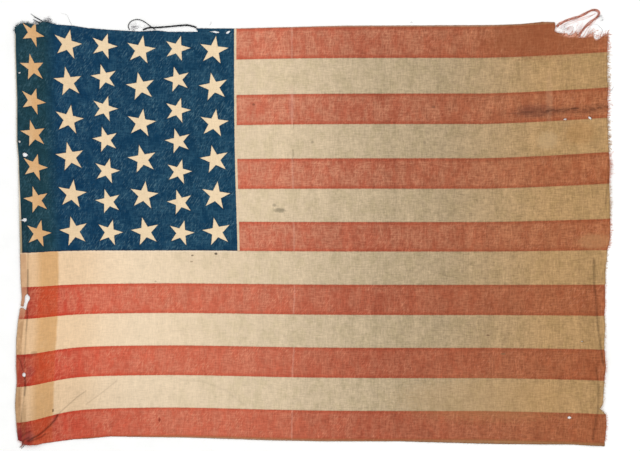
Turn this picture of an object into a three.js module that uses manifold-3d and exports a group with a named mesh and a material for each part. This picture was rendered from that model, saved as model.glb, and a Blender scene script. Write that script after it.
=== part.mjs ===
// Tattered flag: thin wool bunting with clamp-dyed stripes and canton, lying flat. Its turned hoist
// hem, tack holes, tears and ravelled fly end are one solid; the yarns hanging loose are others.
// Millimetres, +X from hoist to fly, +Y up the flag, +Z up from the surface it lies on.
import * as THREE from 'three';
import { mergeVertices } from 'three/addons/utils/BufferGeometryUtils.js';
import Module from 'manifold-3d';

// Driving dimensions
const flag = { halfLength: 510, thickness: 1.2, unevenness: 0.5, flatBelow: 0.45 };
const hem = { thickness: 1.3, upperWidth: 8, lowerWidth: 16, widensAt: -20, widensOver: 40, softness: 3 };
const fray = { pitch: 9.5, base: 3.4, shortest: 1.2, longest: 4.6 };
const yarnSides = 8;

// The cloth's edge, anticlockwise from the upper hoist corner. Each tear that is open to the edge
// is part of it.
const hoistEdge = [
  [-509.9, 352], [-510, 312], [-508.9, 278], [-507.4, 228], [-507.4, 158], [-504.6, 127.5], [-503.4, 49],
  [-502.2, -28], [-500.3, -77], [-498.3, -110], [-500.3, -123.5],
];
const hoistTear = [
  [-495.2, -124.9], [-494.2, -118.4], [-493.3, -113.7], [-489.9, -110.6], [-493.1, -108.5],
  [-492.1, -105.3], [-489.2, -102.9], [-487, -104.3], [-484.1, -109.6], [-484.9, -112.6],
  [-487.5, -117.1], [-489.4, -122.9], [-490.9, -130.2], [-493.1, -129.7], [-495.7, -126.7],
];
const lowerHoistEdge = [
  [-501.2, -127], [-504.7, -147.5], [-507.8, -180], [-508.6, -226], [-507.3, -252], [-510, -293],
  [-507, -337], [-504.8, -352.4], [-496.9, -355],
];
const bottomEdge = [
  [-499.1, -364.2], [-496, -358.6], [-489, -360.6], [-473, -360.6], [-461, -358], [-435, -354.6],
  [-409, -351], [-385.5, -349.9], [-348, -346.3], [-288, -347.3], [-214.7, -348.2], [-126, -350],
  [-71, -352.8], [12, -354.6], [147.4, -354.6], [258.4, -356.5], [314.7, -359.3], [437.7, -360],
  [463.3, -361.7],
];
const flyEdge = [
  [496.8, -363], [496.8, -356], [499.9, -324.3], [498, -308.5], [493.2, -303.8], [487.8, -298.8],
  [493.2, -290.4], [495.6, -250], [498, -228], [495.3, -190], [497.5, -154], [495.8, -139],
  [497.5, -118.5], [497, -87.7], [498.2, -82.6], [497.5, -65], [500, -46.7], [501.3, -25],
  [503.7, -19.4], [506, -7.4], [506, 26.7], [505.4, 45.5], [503.7, 83], [505.4, 118], [503.7, 138.4],
  [501.8, 175], [500.9, 201], [502.6, 214.6], [500.9, 227.3], [502.6, 249], [500.6, 266],
  [500.6, 308.6], [501.3, 328.4],
];
const tornCorner = [
  [502.6, 340.6], [496.4, 338.4], [490.6, 334.4], [485, 330.2], [480.4, 329.6], [477.6, 333.6],
  [477.2, 339.6], [471.9, 340.2], [467.6, 337.6], [464.6, 334.3], [451.4, 334.3], [450.2, 341.2],
  [446.3, 342.6], [441.4, 338.8], [434.3, 338.4], [431.7, 341.5], [420.6, 341.5], [410.4, 345.1],
  [412.4, 352.3],
];
const topEdge = [
  [412, 360.8], [390, 361.5], [352.3, 357.7], [306.2, 356], [147.4, 355], [53.4, 355],
  [-18.3, 353.5], [-88.3, 352], [-135.7, 350.2], [-195.5, 350.9], [-201.6, 350.6], [-197.4, 344.6],
  [-245.5, 344.4], [-269.4, 346.8], [-296.7, 345.1], [-313.8, 346], [-348.8, 348], [-388, 351.2],
  [-411.7, 355.2], [-438.5, 356.8], [-450.4, 359.5], [-460.7, 361.9], [-467.9, 364.2],
  [-466.2, 360.4], [-469.8, 357.2], [-476, 356.4], [-482.9, 357.8], [-489.7, 360.2],
  [-494.9, 359.8], [-501.7, 358.1], [-506.5, 354.3],
];

// Round and oval holes: centre, width along the first direction, height and turn in degrees
const roundHoles = [
  { name: 'upper tack hole', x: -502.5, y: 274.8, w: 5, h: 3.4, turn: 0 },
  { name: 'lower tack hole', x: -502.2, y: 157, w: 4.6, h: 4.6, turn: 0 },
  { name: 'hem hole', x: -494.6, y: -241, w: 6, h: 8, turn: 10 },
  { name: 'upper fly hole', x: 471.7, y: 197.5, w: 7.5, h: 4, turn: -35 },
  { name: 'upper fly nick', x: 429.2, y: 195.2, w: 7, h: 2.6, turn: 5 },
  { name: 'lower fly hole', x: 436.3, y: -314, w: 7, h: 4.3, turn: 0 },
  { name: 'lower fly nick', x: 458.2, y: -184, w: 3.6, h: 2.5, turn: 0 },
];
const tornHoles = [
  [
    [-496.9, 135.2], [-495.9, 131.6], [-493.1, 130.9], [-489.4, 131.9], [-487.8, 134], [-489, 135.9],
    [-491.4, 137.9], [-494.2, 138.6], [-496.2, 137.6],
  ],
  [
    [-502, 23.8], [-502, 22.5], [-496.4, 21.8], [-493.9, 19.8], [-491, 20.4], [-489.6, 22.9],
    [-490.2, 25.6], [-492.8, 27], [-495.5, 26.2], [-496.8, 24.3],
  ],
  [
    [-178.3, 345.5], [-178.3, 344.5], [-172, 344], [-167.8, 342.2], [-162.5, 342.4], [-160.8, 344.4],
    [-166.9, 345.8], [-171.2, 346.1], [-173.7, 345.3],
  ],
  [
    [-150.5, 341.7], [-148.1, 341.2], [-145.4, 342], [-143, 344.4], [-141.6, 346.8], [-146.4, 346.1],
    [-149, 344.4],
  ],
];

// Soft folds that lift the cloth off the surface: crest line, height at its ends, half-width
const folds = [
  { name: 'fly edge curl', crest: [[504, 130], [503, 90], [500, 50]], heights: [2.2, 3.4], reach: 7 },
  {
    name: 'fly fold', crest: [[476, -40], [476, -85], [482, -154], [492, -224]],
    heights: [2.5, 5.6], reach: 9,
  },
  {
    name: 'lower fly fold', crest: [[481, -228], [486, -266], [482, -315], [476, -351]],
    heights: [5, 3], reach: 8,
  },
  {
    name: 'corner crease', crest: [[-489, -359], [-455, -333], [-435, -307], [-385, -267]],
    heights: [5.5, 1], reach: 8,
  },
  {
    name: 'inner corner crease', crest: [[-473, -354], [-426, -301], [-391, -275]],
    heights: [3.4, 1], reach: 7,
  },
  { name: 'upper hoist corner', crest: [[-492, 350], [-458, 356]], heights: [2.4, 2.4], reach: 22 },
  { name: 'torn corner', crest: [[415, 352], [480, 322]], heights: [2.6, 1.6], reach: 20 },
  { name: 'packing crease', crest: [[-38, 190], [-42, -190]], heights: [1.1, 1.1], reach: 12 },
  { name: 'second packing crease', crest: [[214, 300], [238, -300]], heights: [1.1, 1.1], reach: 14 },
  { name: 'third packing crease', crest: [[404, 300], [408, 120]], heights: [1.2, 0.9], reach: 12 },
];

// Yarns hanging loose, each with its radius and its route over the surface
const selvedgeYarn = {
  name: 'selvedge_yarn', radius: 1.2, color: 0x1f2c38, steps: 20,
  route: [
    [-291.5, 347.9, 1.3], [-288, 349.3, 1.5], [-284, 350.6, 2.3], [-279.5, 351.4, 3.3], [-275, 351.6, 3.5],
    [-270, 351.8, 2.5], [-265, 352, 1.6], [-256, 352.7, 1.25], [-246, 353.6, 1.25], [-236, 354.5, 1.25],
    [-226, 355.4, 1.25], [-218, 355.9, 1.25], [-211, 355, 1.25], [-205, 353.6, 1.25], [-200.2, 351.9, 1.25],
  ],
};
const navyYarn = {
  name: 'navy_yarn', radius: 0.8, color: 0x22323f, steps: 24,
  route: [
    [-270.5, 348.4, 0.85], [-273.2, 350.2, 0.85], [-276, 352.1, 0.85], [-279.6, 354.6, 0.85],
    [-283.8, 358, 0.85], [-288.2, 361.2, 0.85], [-293, 363.8, 0.85], [-298, 365.4, 0.85],
    [-303, 365.5, 0.85], [-308.2, 364.4, 0.85], [-312.6, 361.8, 0.85], [-315.4, 358.2, 0.85],
    [-316.6, 354.4, 0.85], [-315.8, 350.8, 0.85], [-313.9, 348.1, 0.85],
  ],
};
const redYarn = {
  name: 'red_yarn', radius: 1, color: 0x8e3325, steps: 36,
  route: [
    [414.5, 353.2, 1.05], [417.4, 355.6, 1.05], [420.9, 358.3, 1.05], [426, 361.3, 1.05], [433, 364.4, 1.05],
    [441, 367, 1.05], [449, 369.2, 1.05], [456, 371.8, 1.05], [463, 375.3, 1.05], [469, 378.6, 1.05],
    [475, 381, 1.05], [480.6, 381.8, 1.05], [485.2, 380.2, 1.05], [487.2, 376.4, 1.05], [485.6, 371.9, 1.05],
    [481.4, 368, 1.05], [475.6, 363.6, 1.05], [469.2, 358.3, 1.05], [463.4, 352.9, 1.05],
    [458.4, 347.2, 1.05], [454.9, 341.6, 1.05], [452.8, 335.8, 1.05],
  ],
};

// An even run of grid lines from one place to the next
function span(from, to, count) {
  return Array.from({ length: count }, (unused, i) => from + ((to - from) * i) / count);
}

function smoothStep(t) {
  const s = THREE.MathUtils.clamp(t, 0, 1);
  return s * s * (3 - 2 * s);
}

// Where the hoist edge lies at a height y, with its tear closed
function hoistAt(y) {
  const line = [...hoistEdge, ...lowerHoistEdge];
  const below = line.findIndex((point) => point[1] <= y);
  if (below === 0) return line[0][0];
  if (below === -1) return line[line.length - 1][0];
  const [x0, y0] = line[below - 1];
  const [x1, y1] = line[below];
  return x0 + ((x1 - x0) * (y0 - y)) / (y0 - y1);
}

// The extra cloth of the turned hoist hem
function hemAt(x, y) {
  const widening = smoothStep((hem.widensAt + hem.widensOver / 2 - y) / hem.widensOver);
  const width = hem.upperWidth + (hem.lowerWidth - hem.upperWidth) * widening;
  return hem.thickness * smoothStep((width - (x - hoistAt(y))) / hem.softness);
}

// A fold's height at a point, full on its crest and gone two reaches away from it
function foldAt(fold, x, y) {
  let best = { distance: Infinity, along: 0 };
  const last = fold.crest.length - 1;
  for (let i = 0; i < last; i += 1) {
    const [ax, ay] = fold.crest[i];
    const [bx, by] = fold.crest[i + 1];
    const dx = bx - ax;
    const dy = by - ay;
    const t = THREE.MathUtils.clamp(((x - ax) * dx + (y - ay) * dy) / (dx * dx + dy * dy), 0, 1);
    const distance = Math.hypot(x - ax - t * dx, y - ay - t * dy);
    if (distance < best.distance) best = { distance, along: (i + t) / last };
  }
  const crestHeight = THREE.MathUtils.lerp(fold.heights[0], fold.heights[1], best.along);
  return crestHeight * Math.exp(-((best.distance / fold.reach) ** 2));
}

function liftAt(x, y) {
  return folds.reduce((sum, fold) => sum + foldAt(fold, x, y), 0);
}

function wavesAt(x, y) {
  return 0.5 + 0.5 * Math.sin(x / 61 + y / 140) * Math.cos(y / 53 - x / 170);
}

// The sheet before it is cut: a slab whose two skins follow the folds, flat below where it touches
function foldedSlab() {
  const xs = [
    ...span(-516, -480, 9), ...span(-480, -370, 10), ...span(-370, 434, 23), ...span(434, 518, 11), 518,
  ];
  const ys = [...span(-374, -262, 10), ...span(-262, 374, 19), 374];
  const positions = [];
  for (const side of ['top', 'bottom']) {
    for (const y of ys) {
      for (const x of xs) {
        const lift = liftAt(x, y);
        const top = lift + flag.thickness + flag.unevenness * wavesAt(x, y) + hemAt(x, y);
        positions.push(x, y, side === 'top' ? top : Math.max(0, lift - flag.flatBelow));
      }
    }
  }
  const columns = xs.length;
  const rows = ys.length;
  const below = columns * rows;
  const index = [];
  const quad = (a, b, c, d) => index.push(a, b, c, a, c, d);
  for (let j = 0; j < rows - 1; j += 1) {
    for (let i = 0; i < columns - 1; i += 1) {
      const a = j * columns + i;
      quad(a, a + 1, a + columns + 1, a + columns);
      quad(below + a, below + a + columns, below + a + columns + 1, below + a + 1);
    }
  }
  const wall = (a, b) => quad(below + a, below + b, b, a);
  for (let i = 0; i < columns - 1; i += 1) {
    wall(i, i + 1);
    wall((rows - 1) * columns + i + 1, (rows - 1) * columns + i);
  }
  for (let j = 0; j < rows - 1; j += 1) {
    wall((j + 1) * columns, j * columns);
    wall(j * columns + columns - 1, (j + 1) * columns + columns - 1);
  }
  const geometry = new THREE.BufferGeometry();
  geometry.setAttribute('position', new THREE.Float32BufferAttribute(positions, 3));
  geometry.setIndex(index);
  return geometry;
}

// Ravelled weft ends: a comb of uneven teeth along an edge, none past the flag's full length
function ravelled(edge) {
  const points = [edge[0]];
  let tooth = 0;
  for (let i = 1; i < edge.length; i += 1) {
    const [x0, y0] = edge[i - 1];
    const [x1, y1] = edge[i];
    const count = Math.floor(Math.abs(y1 - y0) / fray.pitch);
    for (let k = 0; k < count; k += 1) {
      const y = y0 + ((y1 - y0) * (k + 0.5)) / count;
      const x = x0 + ((x1 - x0) * (k + 0.5)) / count;
      const share = 0.5 + 0.5 * Math.sin(tooth * 2.4) * Math.cos(tooth * 0.9);
      const reach = fray.shortest + (fray.longest - fray.shortest) * share;
      const tip = Math.min(flag.halfLength, x + reach);
      points.push([x, y - fray.base / 2], [tip, y + 0.6], [x, y + fray.base / 2]);
      tooth += 1;
    }
    points.push([x1, y1]);
  }
  return points;
}

// The cut cloth seen from above, holes and all
function clothOutline() {
  const edge = [
    ...hoistEdge, ...hoistTear, ...lowerHoistEdge, ...bottomEdge, ...ravelled(flyEdge), ...tornCorner,
    ...topEdge,
  ];
  const outline = new THREE.Shape(edge.map(([x, y]) => new THREE.Vector2(x, y)));
  for (const hole of roundHoles) {
    const turn = THREE.MathUtils.degToRad(hole.turn);
    const oval = new THREE.Path();
    oval.absellipse(hole.x, hole.y, hole.w / 2, hole.h / 2, 0, 2 * Math.PI, false, turn);
    outline.holes.push(oval);
  }
  for (const hole of tornHoles) {
    outline.holes.push(new THREE.Path(hole.map(([x, y]) => new THREE.Vector2(x, y))));
  }
  return outline;
}

function closedSolid(wasm, geometry) {
  geometry.deleteAttribute('normal');
  geometry.deleteAttribute('uv');
  const merged = mergeVertices(geometry, 1e-4);
  return new wasm.Manifold(new wasm.Mesh({
    numProp: 3,
    vertProperties: new Float32Array(merged.attributes.position.array),
    triVerts: new Uint32Array(merged.index.array),
  }));
}

function meshFromSolid(solid, name, material) {
  const { vertProperties, triVerts } = solid.getMesh();
  const geometry = new THREE.BufferGeometry();
  geometry.setAttribute('position', new THREE.BufferAttribute(vertProperties, 3));
  geometry.setIndex(new THREE.BufferAttribute(triVerts, 1));
  geometry.computeVertexNormals();
  const mesh = new THREE.Mesh(geometry, material);
  mesh.name = name;
  return mesh;
}

async function cloth() {
  const wasm = await Module();
  wasm.setup();
  const depths = { depth: 40, curveSegments: 5, bevelEnabled: false };
  const cutter = new THREE.ExtrudeGeometry(clothOutline(), depths);
  cutter.translate(0, 0, -10);
  const cut = closedSolid(wasm, foldedSlab()).intersect(closedSolid(wasm, cutter));
  const wool = new THREE.MeshStandardMaterial({ color: 0xc08a68, roughness: 0.95, metalness: 0 });
  return meshFromSolid(cut, 'cloth', wool);
}

function yarn({ name, radius, color, steps, route }) {
  const section = new THREE.Shape(
    Array.from({ length: yarnSides }, (unused, i) => {
      const angle = (2 * Math.PI * i) / yarnSides;
      return new THREE.Vector2(radius * Math.cos(angle), radius * Math.sin(angle));
    }),
  );
  const path = new THREE.CatmullRomCurve3(route.map(([x, y, z]) => new THREE.Vector3(x, y, z)));
  const tube = new THREE.ExtrudeGeometry(section, { steps, extrudePath: path });
  const wool = new THREE.MeshStandardMaterial({ color, roughness: 0.95, metalness: 0 });
  const mesh = new THREE.Mesh(tube, wool);
  mesh.name = name;
  return mesh;
}

const tatteredFlag = new THREE.Group();
tatteredFlag.add(await cloth(), yarn(selvedgeYarn), yarn(navyYarn), yarn(redYarn));

export default tatteredFlag;
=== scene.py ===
# A tattered wool bunting flag, laid flat: one dyed cloth with a turned hoist hem, tears, tack
# holes and a ravelled fly end, and the yarns that hang loose from it.
import math
import random

import bmesh
import bpy
import numpy as np
from mathutils import Matrix, Vector, noise
from mathutils.bvhtree import BVHTree
from mathutils.geometry import delaunay_2d_cdt
from mathutils.kdtree import KDTree


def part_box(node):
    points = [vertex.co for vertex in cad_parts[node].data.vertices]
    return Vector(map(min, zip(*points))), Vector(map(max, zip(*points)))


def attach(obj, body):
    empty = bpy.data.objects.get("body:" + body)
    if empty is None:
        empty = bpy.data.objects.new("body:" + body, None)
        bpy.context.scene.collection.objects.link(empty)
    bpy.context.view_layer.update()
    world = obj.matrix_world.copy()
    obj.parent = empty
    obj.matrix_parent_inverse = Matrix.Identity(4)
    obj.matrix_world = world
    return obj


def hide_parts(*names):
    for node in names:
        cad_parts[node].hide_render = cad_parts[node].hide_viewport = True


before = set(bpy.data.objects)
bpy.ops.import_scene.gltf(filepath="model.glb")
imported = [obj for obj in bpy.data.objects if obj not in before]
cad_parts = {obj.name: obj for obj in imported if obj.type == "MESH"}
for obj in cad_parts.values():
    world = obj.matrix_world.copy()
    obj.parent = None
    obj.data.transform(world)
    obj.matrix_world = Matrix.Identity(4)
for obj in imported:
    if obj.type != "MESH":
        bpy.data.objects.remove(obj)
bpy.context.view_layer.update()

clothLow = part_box("cloth")[0]
mm = 0.001
flatLength, flatHeight = 1.016, 0.7112  # the cloth as it was cut


# Small helpers for meshes and curves

def meshObject(name, verts, faces, material=None):
    mesh = bpy.data.meshes.new(name)
    mesh.from_pydata([tuple(v) for v in verts], [], faces)
    mesh.update()
    made = bpy.data.objects.new(name, mesh)
    bpy.context.scene.collection.objects.link(made)
    if material:
        mesh.materials.append(material)
    return made


def smoothCurve(points, perSpan):
    # a Catmull-Rom curve through the points
    p = np.array([points[0], *points, points[-1]], float)
    found = []
    for i in range(1, len(p) - 2):
        a, b, c, d = p[i - 1:i + 3]
        for t in np.arange(perSpan) / perSpan:
            found.append(0.5 * (2 * b + (c - a) * t + (2 * a - 5 * b + 4 * c - d) * t ** 2
                                + (3 * b - a - 3 * c + d) * t ** 3))
    return np.array([*found, p[-2]])


def evenly(points, spacing, places=3):
    # the same line with its points evenly spaced: places is how many columns are its position
    points = np.array(points, float)
    steps = np.linalg.norm(np.diff(points[:, :places], axis=0), axis=1)
    along = np.concatenate([[0], np.cumsum(steps)])
    spots = np.linspace(0, along[-1], max(2, int(round(along[-1] / spacing)) + 1))
    return np.stack([np.interp(spots, along, points[:, k]) for k in range(points.shape[1])], axis=1)


def shadeSmooth(made):
    made.data.polygons.foreach_set("use_smooth", [True] * len(made.data.polygons))


# Small helpers for shader nodes

def paint(red, green, blue):
    # a display colour, 0 to 255, as the linear colour that shaders take
    def linear(c):
        c = c / 255
        return c / 12.92 if c <= 0.04045 else ((c + 0.055) / 1.055) ** 2.4
    return (linear(red), linear(green), linear(blue), 1)


def addNode(tree, kind, **settings):
    node = tree.nodes.new(kind)
    for key, value in settings.items():
        setattr(node, key, value)
    return node


def feed(tree, socket, value):
    if isinstance(value, bpy.types.NodeSocket):
        tree.links.new(value, socket)
    elif value is not None:
        socket.default_value = value


def calc(tree, operation, *values):
    node = addNode(tree, "ShaderNodeMath", operation=operation)
    for socket, value in zip(node.inputs, values):
        feed(tree, socket, value)
    return node.outputs[0]


def minus(tree, first, second):
    return calc(tree, "SUBTRACT", first, second)


def timesPlus(tree, value, factor, amount):
    return calc(tree, "MULTIPLY_ADD", value, factor, amount)


def move(tree, operation, *values):
    node = addNode(tree, "ShaderNodeVectorMath", operation=operation)
    for socket, value in zip(node.inputs, values):
        feed(tree, socket, value)
    return node.outputs["Value" if operation in ("LENGTH", "DOT_PRODUCT", "DISTANCE") else "Vector"]


def scaled(tree, vector, factor):
    node = addNode(tree, "ShaderNodeVectorMath", operation="SCALE")
    feed(tree, node.inputs[0], vector)
    feed(tree, node.inputs["Scale"], factor)
    return node.outputs[0]


def split(tree, vector):
    node = addNode(tree, "ShaderNodeSeparateXYZ")
    feed(tree, node.inputs[0], vector)
    return node.outputs


def rise(tree, value, low, high, top=1.0, start=0.0):
    # from start at low to top at high, with a soft beginning and end
    node = addNode(tree, "ShaderNodeMapRange", interpolation_type="SMOOTHSTEP")
    for name, setting in (("Value", value), ("From Min", low), ("From Max", high), ("To Min", start),
                          ("To Max", top)):
        feed(tree, node.inputs[name], setting)
    return node.outputs["Result"]


def product(tree, *values):
    found = values[0]
    for value in values[1:]:
        found = calc(tree, "MULTIPLY", found, value)
    return found


def shaded(tree, colour, level):
    # a colour made darker or lighter by a level round 1
    node = addNode(tree, "ShaderNodeCombineColor")
    for socket in node.inputs:
        feed(tree, socket, level)
    return blendColours(tree, 1.0, colour, node.outputs[0], "MULTIPLY")


def attribute(tree, name):
    return addNode(tree, "ShaderNodeAttribute", attribute_name=name).outputs


def blendColours(tree, factor, first, second, mode="MIX"):
    node = addNode(tree, "ShaderNodeMix", data_type="RGBA", blend_type=mode)
    feed(tree, node.inputs[0], factor)
    feed(tree, node.inputs[6], first)
    feed(tree, node.inputs[7], second)
    return node.outputs[2]


def tinted(tree, colour, tone, *masks):
    # the colour, turned to a display colour as far as all the masks let it
    return blendColours(tree, product(tree, *masks), colour, paint(*tone))


def ramp(tree, factor, stops):
    node = addNode(tree, "ShaderNodeValToRGB")
    elements = node.color_ramp.elements
    while len(elements) < len(stops):
        elements.new(0.5)
    for element, (place, colour) in zip(elements, stops):
        element.position = place
        element.color = colour
    feed(tree, node.inputs[0], factor)
    return node.outputs[0]


def grain(tree, vector, scale, detail=2.0, roughness=0.5):
    node = addNode(tree, "ShaderNodeTexNoise", noise_dimensions="3D")
    for name, setting in (("Vector", vector), ("Scale", scale), ("Detail", detail), ("Roughness", roughness)):
        feed(tree, node.inputs[name], setting)
    return node.outputs[0]


def stretched(tree, vector, scales, turn=0.0, shift=0.0):
    node = addNode(tree, "ShaderNodeMapping", vector_type="TEXTURE" if turn else "POINT")
    feed(tree, node.inputs["Vector"], vector)
    if turn:
        node.inputs["Rotation"].default_value = (0, 0, turn)
        vector = node.outputs[0]
        node = addNode(tree, "ShaderNodeMapping")
        feed(tree, node.inputs["Vector"], vector)
    node.inputs["Scale"].default_value = scales
    node.inputs["Location"].default_value = (shift, shift * 0.7, shift * 1.3)
    return node.outputs[0]


def nodeGroup(name, inputs, outputs):
    # a shader group with its sockets: returns the tree, its inputs by name and its output node
    tree = bpy.data.node_groups.new(name, "ShaderNodeTree")
    kinds = {"vector": "NodeSocketVector", "value": "NodeSocketFloat", "colour": "NodeSocketColor"}
    for side, sockets in (("INPUT", inputs), ("OUTPUT", outputs)):
        for label, (kind, default) in sockets.items():
            socket = tree.interface.new_socket(name=label, in_out=side, socket_type=kinds[kind])
            if default is not None:
                socket.default_value = default
    start, end = tree.nodes.new("NodeGroupInput"), tree.nodes.new("NodeGroupOutput")
    return tree, {name: start.outputs[name] for name in inputs}, end


def useGroup(tree, group, **values):
    node = addNode(tree, "ShaderNodeGroup", node_tree=group)
    for label, value in values.items():
        feed(tree, node.inputs[label], value)
    return node.outputs


def newMaterial(name, roughness=0.95, sheen=0.0):
    material = bpy.data.materials.new(name)
    material.use_nodes = True
    shader = material.node_tree.nodes["Principled BSDF"]
    shader.inputs["Roughness"].default_value = roughness
    shader.inputs["Specular IOR Level"].default_value = 0.08
    shader.inputs["Sheen Weight"].default_value = sheen
    shader.inputs["Sheen Roughness"].default_value = 0.6
    return material, material.node_tree, shader


def addBump(tree, shader, height, distance, strength=1.0):
    bump = addNode(tree, "ShaderNodeBump")
    bump.inputs["Distance"].default_value = distance
    bump.inputs["Strength"].default_value = strength
    feed(tree, bump.inputs["Height"], height)
    feed(tree, shader.inputs["Normal"], bump.outputs[0])


# Camera, straight above the flag

camera = {"lens": 85, "viewWidth": 1.093, "lookAt": (0.0107, 0.0139)}


def makeCamera():
    data = bpy.data.cameras.new("camera")
    data.lens = camera["lens"]
    made = bpy.data.objects.new("camera", data)
    x, y = camera["lookAt"]
    made.location = (x, y, camera["viewWidth"] * camera["lens"] / data.sensor_width)
    bpy.context.scene.collection.objects.link(made)
    bpy.context.scene.camera = made


makeCamera()
print("camera made")


# Effects that several materials share

def plainWeave():
    # yarns passing over and under each other, as a height
    tree, given, end = nodeGroup("plain weave", {"Vector": ("vector", None), "Pitch": ("value", 1.15 * mm)},
                                 {"Height": ("value", None)})
    wander = product(tree, grain(tree, given["Vector"], 90, 1), 1.6)
    place = split(tree, given["Vector"])
    count = [calc(tree, "ADD", calc(tree, "DIVIDE", place[k], given["Pitch"]), wander) for k in (0, 1)]
    crown = [calc(tree, "SINE", product(tree, calc(tree, "FRACT", n), math.pi)) for n in count]
    crossing = calc(tree, "ADD", *[calc(tree, "FLOOR", n) for n in count])
    odd = calc(tree, "ABSOLUTE", calc(tree, "MODULO", crossing, 2))
    lifted = [product(tree, crown[k], timesPlus(tree, crown[1 - k], 0.45, 0.55)) for k in (0, 1)]
    over = product(tree, lifted[0], odd)
    under = product(tree, lifted[1], minus(tree, 1.0, odd))
    feed(tree, end.inputs["Height"], calc(tree, "ADD", over, under))
    return tree


def threadStreaks():
    # thick and thin yarns both ways, and short slubs, as values round 0.5
    tree, given, end = nodeGroup("thread streaks", {"Vector": ("vector", None)},
                                 {"Weft": ("value", None), "Warp": ("value", None), "Slubs": ("value", None)})
    for label, scales, shift in (("Weft", (85, 450, 1), 1.7), ("Warp", (450, 85, 1), 5.2),
                                 ("Slubs", (330, 560, 1), 9.1)):
        drawnOut = stretched(tree, given["Vector"], scales, shift=shift)
        feed(tree, end.inputs[label], grain(tree, drawnOut, 1, 2, 0.55))
    return tree


def rubbedLines():
    # fine pale scratches, all leaning the same way, in patches
    tree, given, end = nodeGroup("rubbed lines", {"Vector": ("vector", None), "Patch size": ("value", 22.0)},
                                 {"Lines": ("value", None)})
    leaning = stretched(tree, given["Vector"], (120, 520, 1), turn=math.radians(57), shift=3)
    fine = grain(tree, leaning, 1, 1, 0.5)
    patch = grain(tree, given["Vector"], given["Patch size"], 3, 0.6)
    feed(tree, end.inputs["Lines"], product(tree, rise(tree, fine, 0.5, 0.72), rise(tree, patch, 0.36, 0.62)))
    return tree


def softSpot():
    # a soft-edged oval patch, ragged by noise
    tree, given, end = nodeGroup(
        "soft spot", {"Vector": ("vector", None), "Centre": ("vector", None), "Size": ("vector", None)},
        {"Mask": ("value", None)})
    ragged = timesPlus(tree, grain(tree, given["Vector"], 260, 2), 0.8, -0.4)
    off = move(tree, "DIVIDE", move(tree, "SUBTRACT", given["Vector"], given["Centre"]), given["Size"])
    far = calc(tree, "ADD", move(tree, "LENGTH", off), ragged)
    feed(tree, end.inputs["Mask"], rise(tree, far, 1.15, 0.5))
    return tree


# The dyed pattern: stripe edges down from the top, and the canton with its rows of stars
pattern = {
    "stripeEdges": (0, 53.3, 114.9, 167, 226.1, 278.2, 335.7, 386.2, 443.6, 495.2, 552, 603.7, 660.5, 711.2),
    "canton": {"right": 372.2, "stripesFrom": 376, "bottom": 386},
    "columns": {"first": 28.7, "pitch": 61.75},
    "smallStars": {"radius": 22.6, "first": 33, "pitch": 53.75, "lean": 15, "turn": -0.7},
    "largeStars": {"radius": 25.3, "first": 36.8, "pitch": 63.3, "lean": 10, "turn": 1.1},
    "firstColumnSmaller": 1.035,
    "firstStarSmaller": 1.11,
    "innerShare": 0.382,
}

# Faded and browned dye from hoist to fly: distance from the hoist in millimetres, display colour
fading = {
    "cream": (
        (0, (222, 182, 142)), (60, (233, 203, 168)), (200, (233, 210, 179)), (400, (213, 192, 162)),
        (620, (182, 162, 132)), (730, (171, 149, 118)), (900, (173, 139, 97)), (1010, (170, 135, 92)),
    ),
    "red": (
        (0, (156, 36, 28)), (40, (187, 46, 32)), (110, (200, 72, 50)), (250, (198, 90, 65)),
        (400, (188, 88, 64)), (620, (157, 73, 50)), (840, (149, 80, 52)), (1010, (146, 78, 47)),
    ),
    "blue": ((0, (22, 54, 64)), (48, (22, 56, 66)), (72, (6, 52, 82)), (375, (10, 54, 80))),
}


def starMask(tree, across, down, settings, shown, shrink):
    # five-pointed stars in a column of even pitch, leaning one way and then the other
    row = calc(tree, "ROUND", calc(tree, "DIVIDE", minus(tree, down, settings["first"]),
                                   settings["pitch"]))
    middle = timesPlus(tree, row, settings["pitch"], settings["first"])
    up = minus(tree, middle, down)
    odd = calc(tree, "ABSOLUTE", calc(tree, "MODULO", row, 2))
    lean = timesPlus(tree, odd, math.radians(2 * settings["lean"]),
                math.radians(settings["turn"] - settings["lean"]))
    angle = minus(tree, calc(tree, "ARCTAN2", up, across), calc(tree, "ADD", lean, math.pi / 2))
    folded = calc(tree, "PINGPONG", angle, math.pi / 5)
    far = calc(tree, "SQRT", timesPlus(tree, across, across, product(tree, up, up)))
    far = product(tree, far, shrink)
    radius = settings["radius"]
    inner = radius * pattern["innerShare"]
    sideX, sideY = inner * math.cos(math.pi / 5) - radius, inner * math.sin(math.pi / 5)
    side = math.hypot(sideX, sideY)
    outX, outY = sideY / side, -sideX / side
    along = timesPlus(tree, product(tree, far, calc(tree, "COSINE", folded)), outX, -radius * outX)
    away = timesPlus(tree, product(tree, far, calc(tree, "SINE", folded)), outY, along)
    star, edge = rise(tree, away, 0.45, -0.45), rise(tree, away, 2.4, 0.6)
    return product(tree, star, shown), product(tree, edge, shown)


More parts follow.
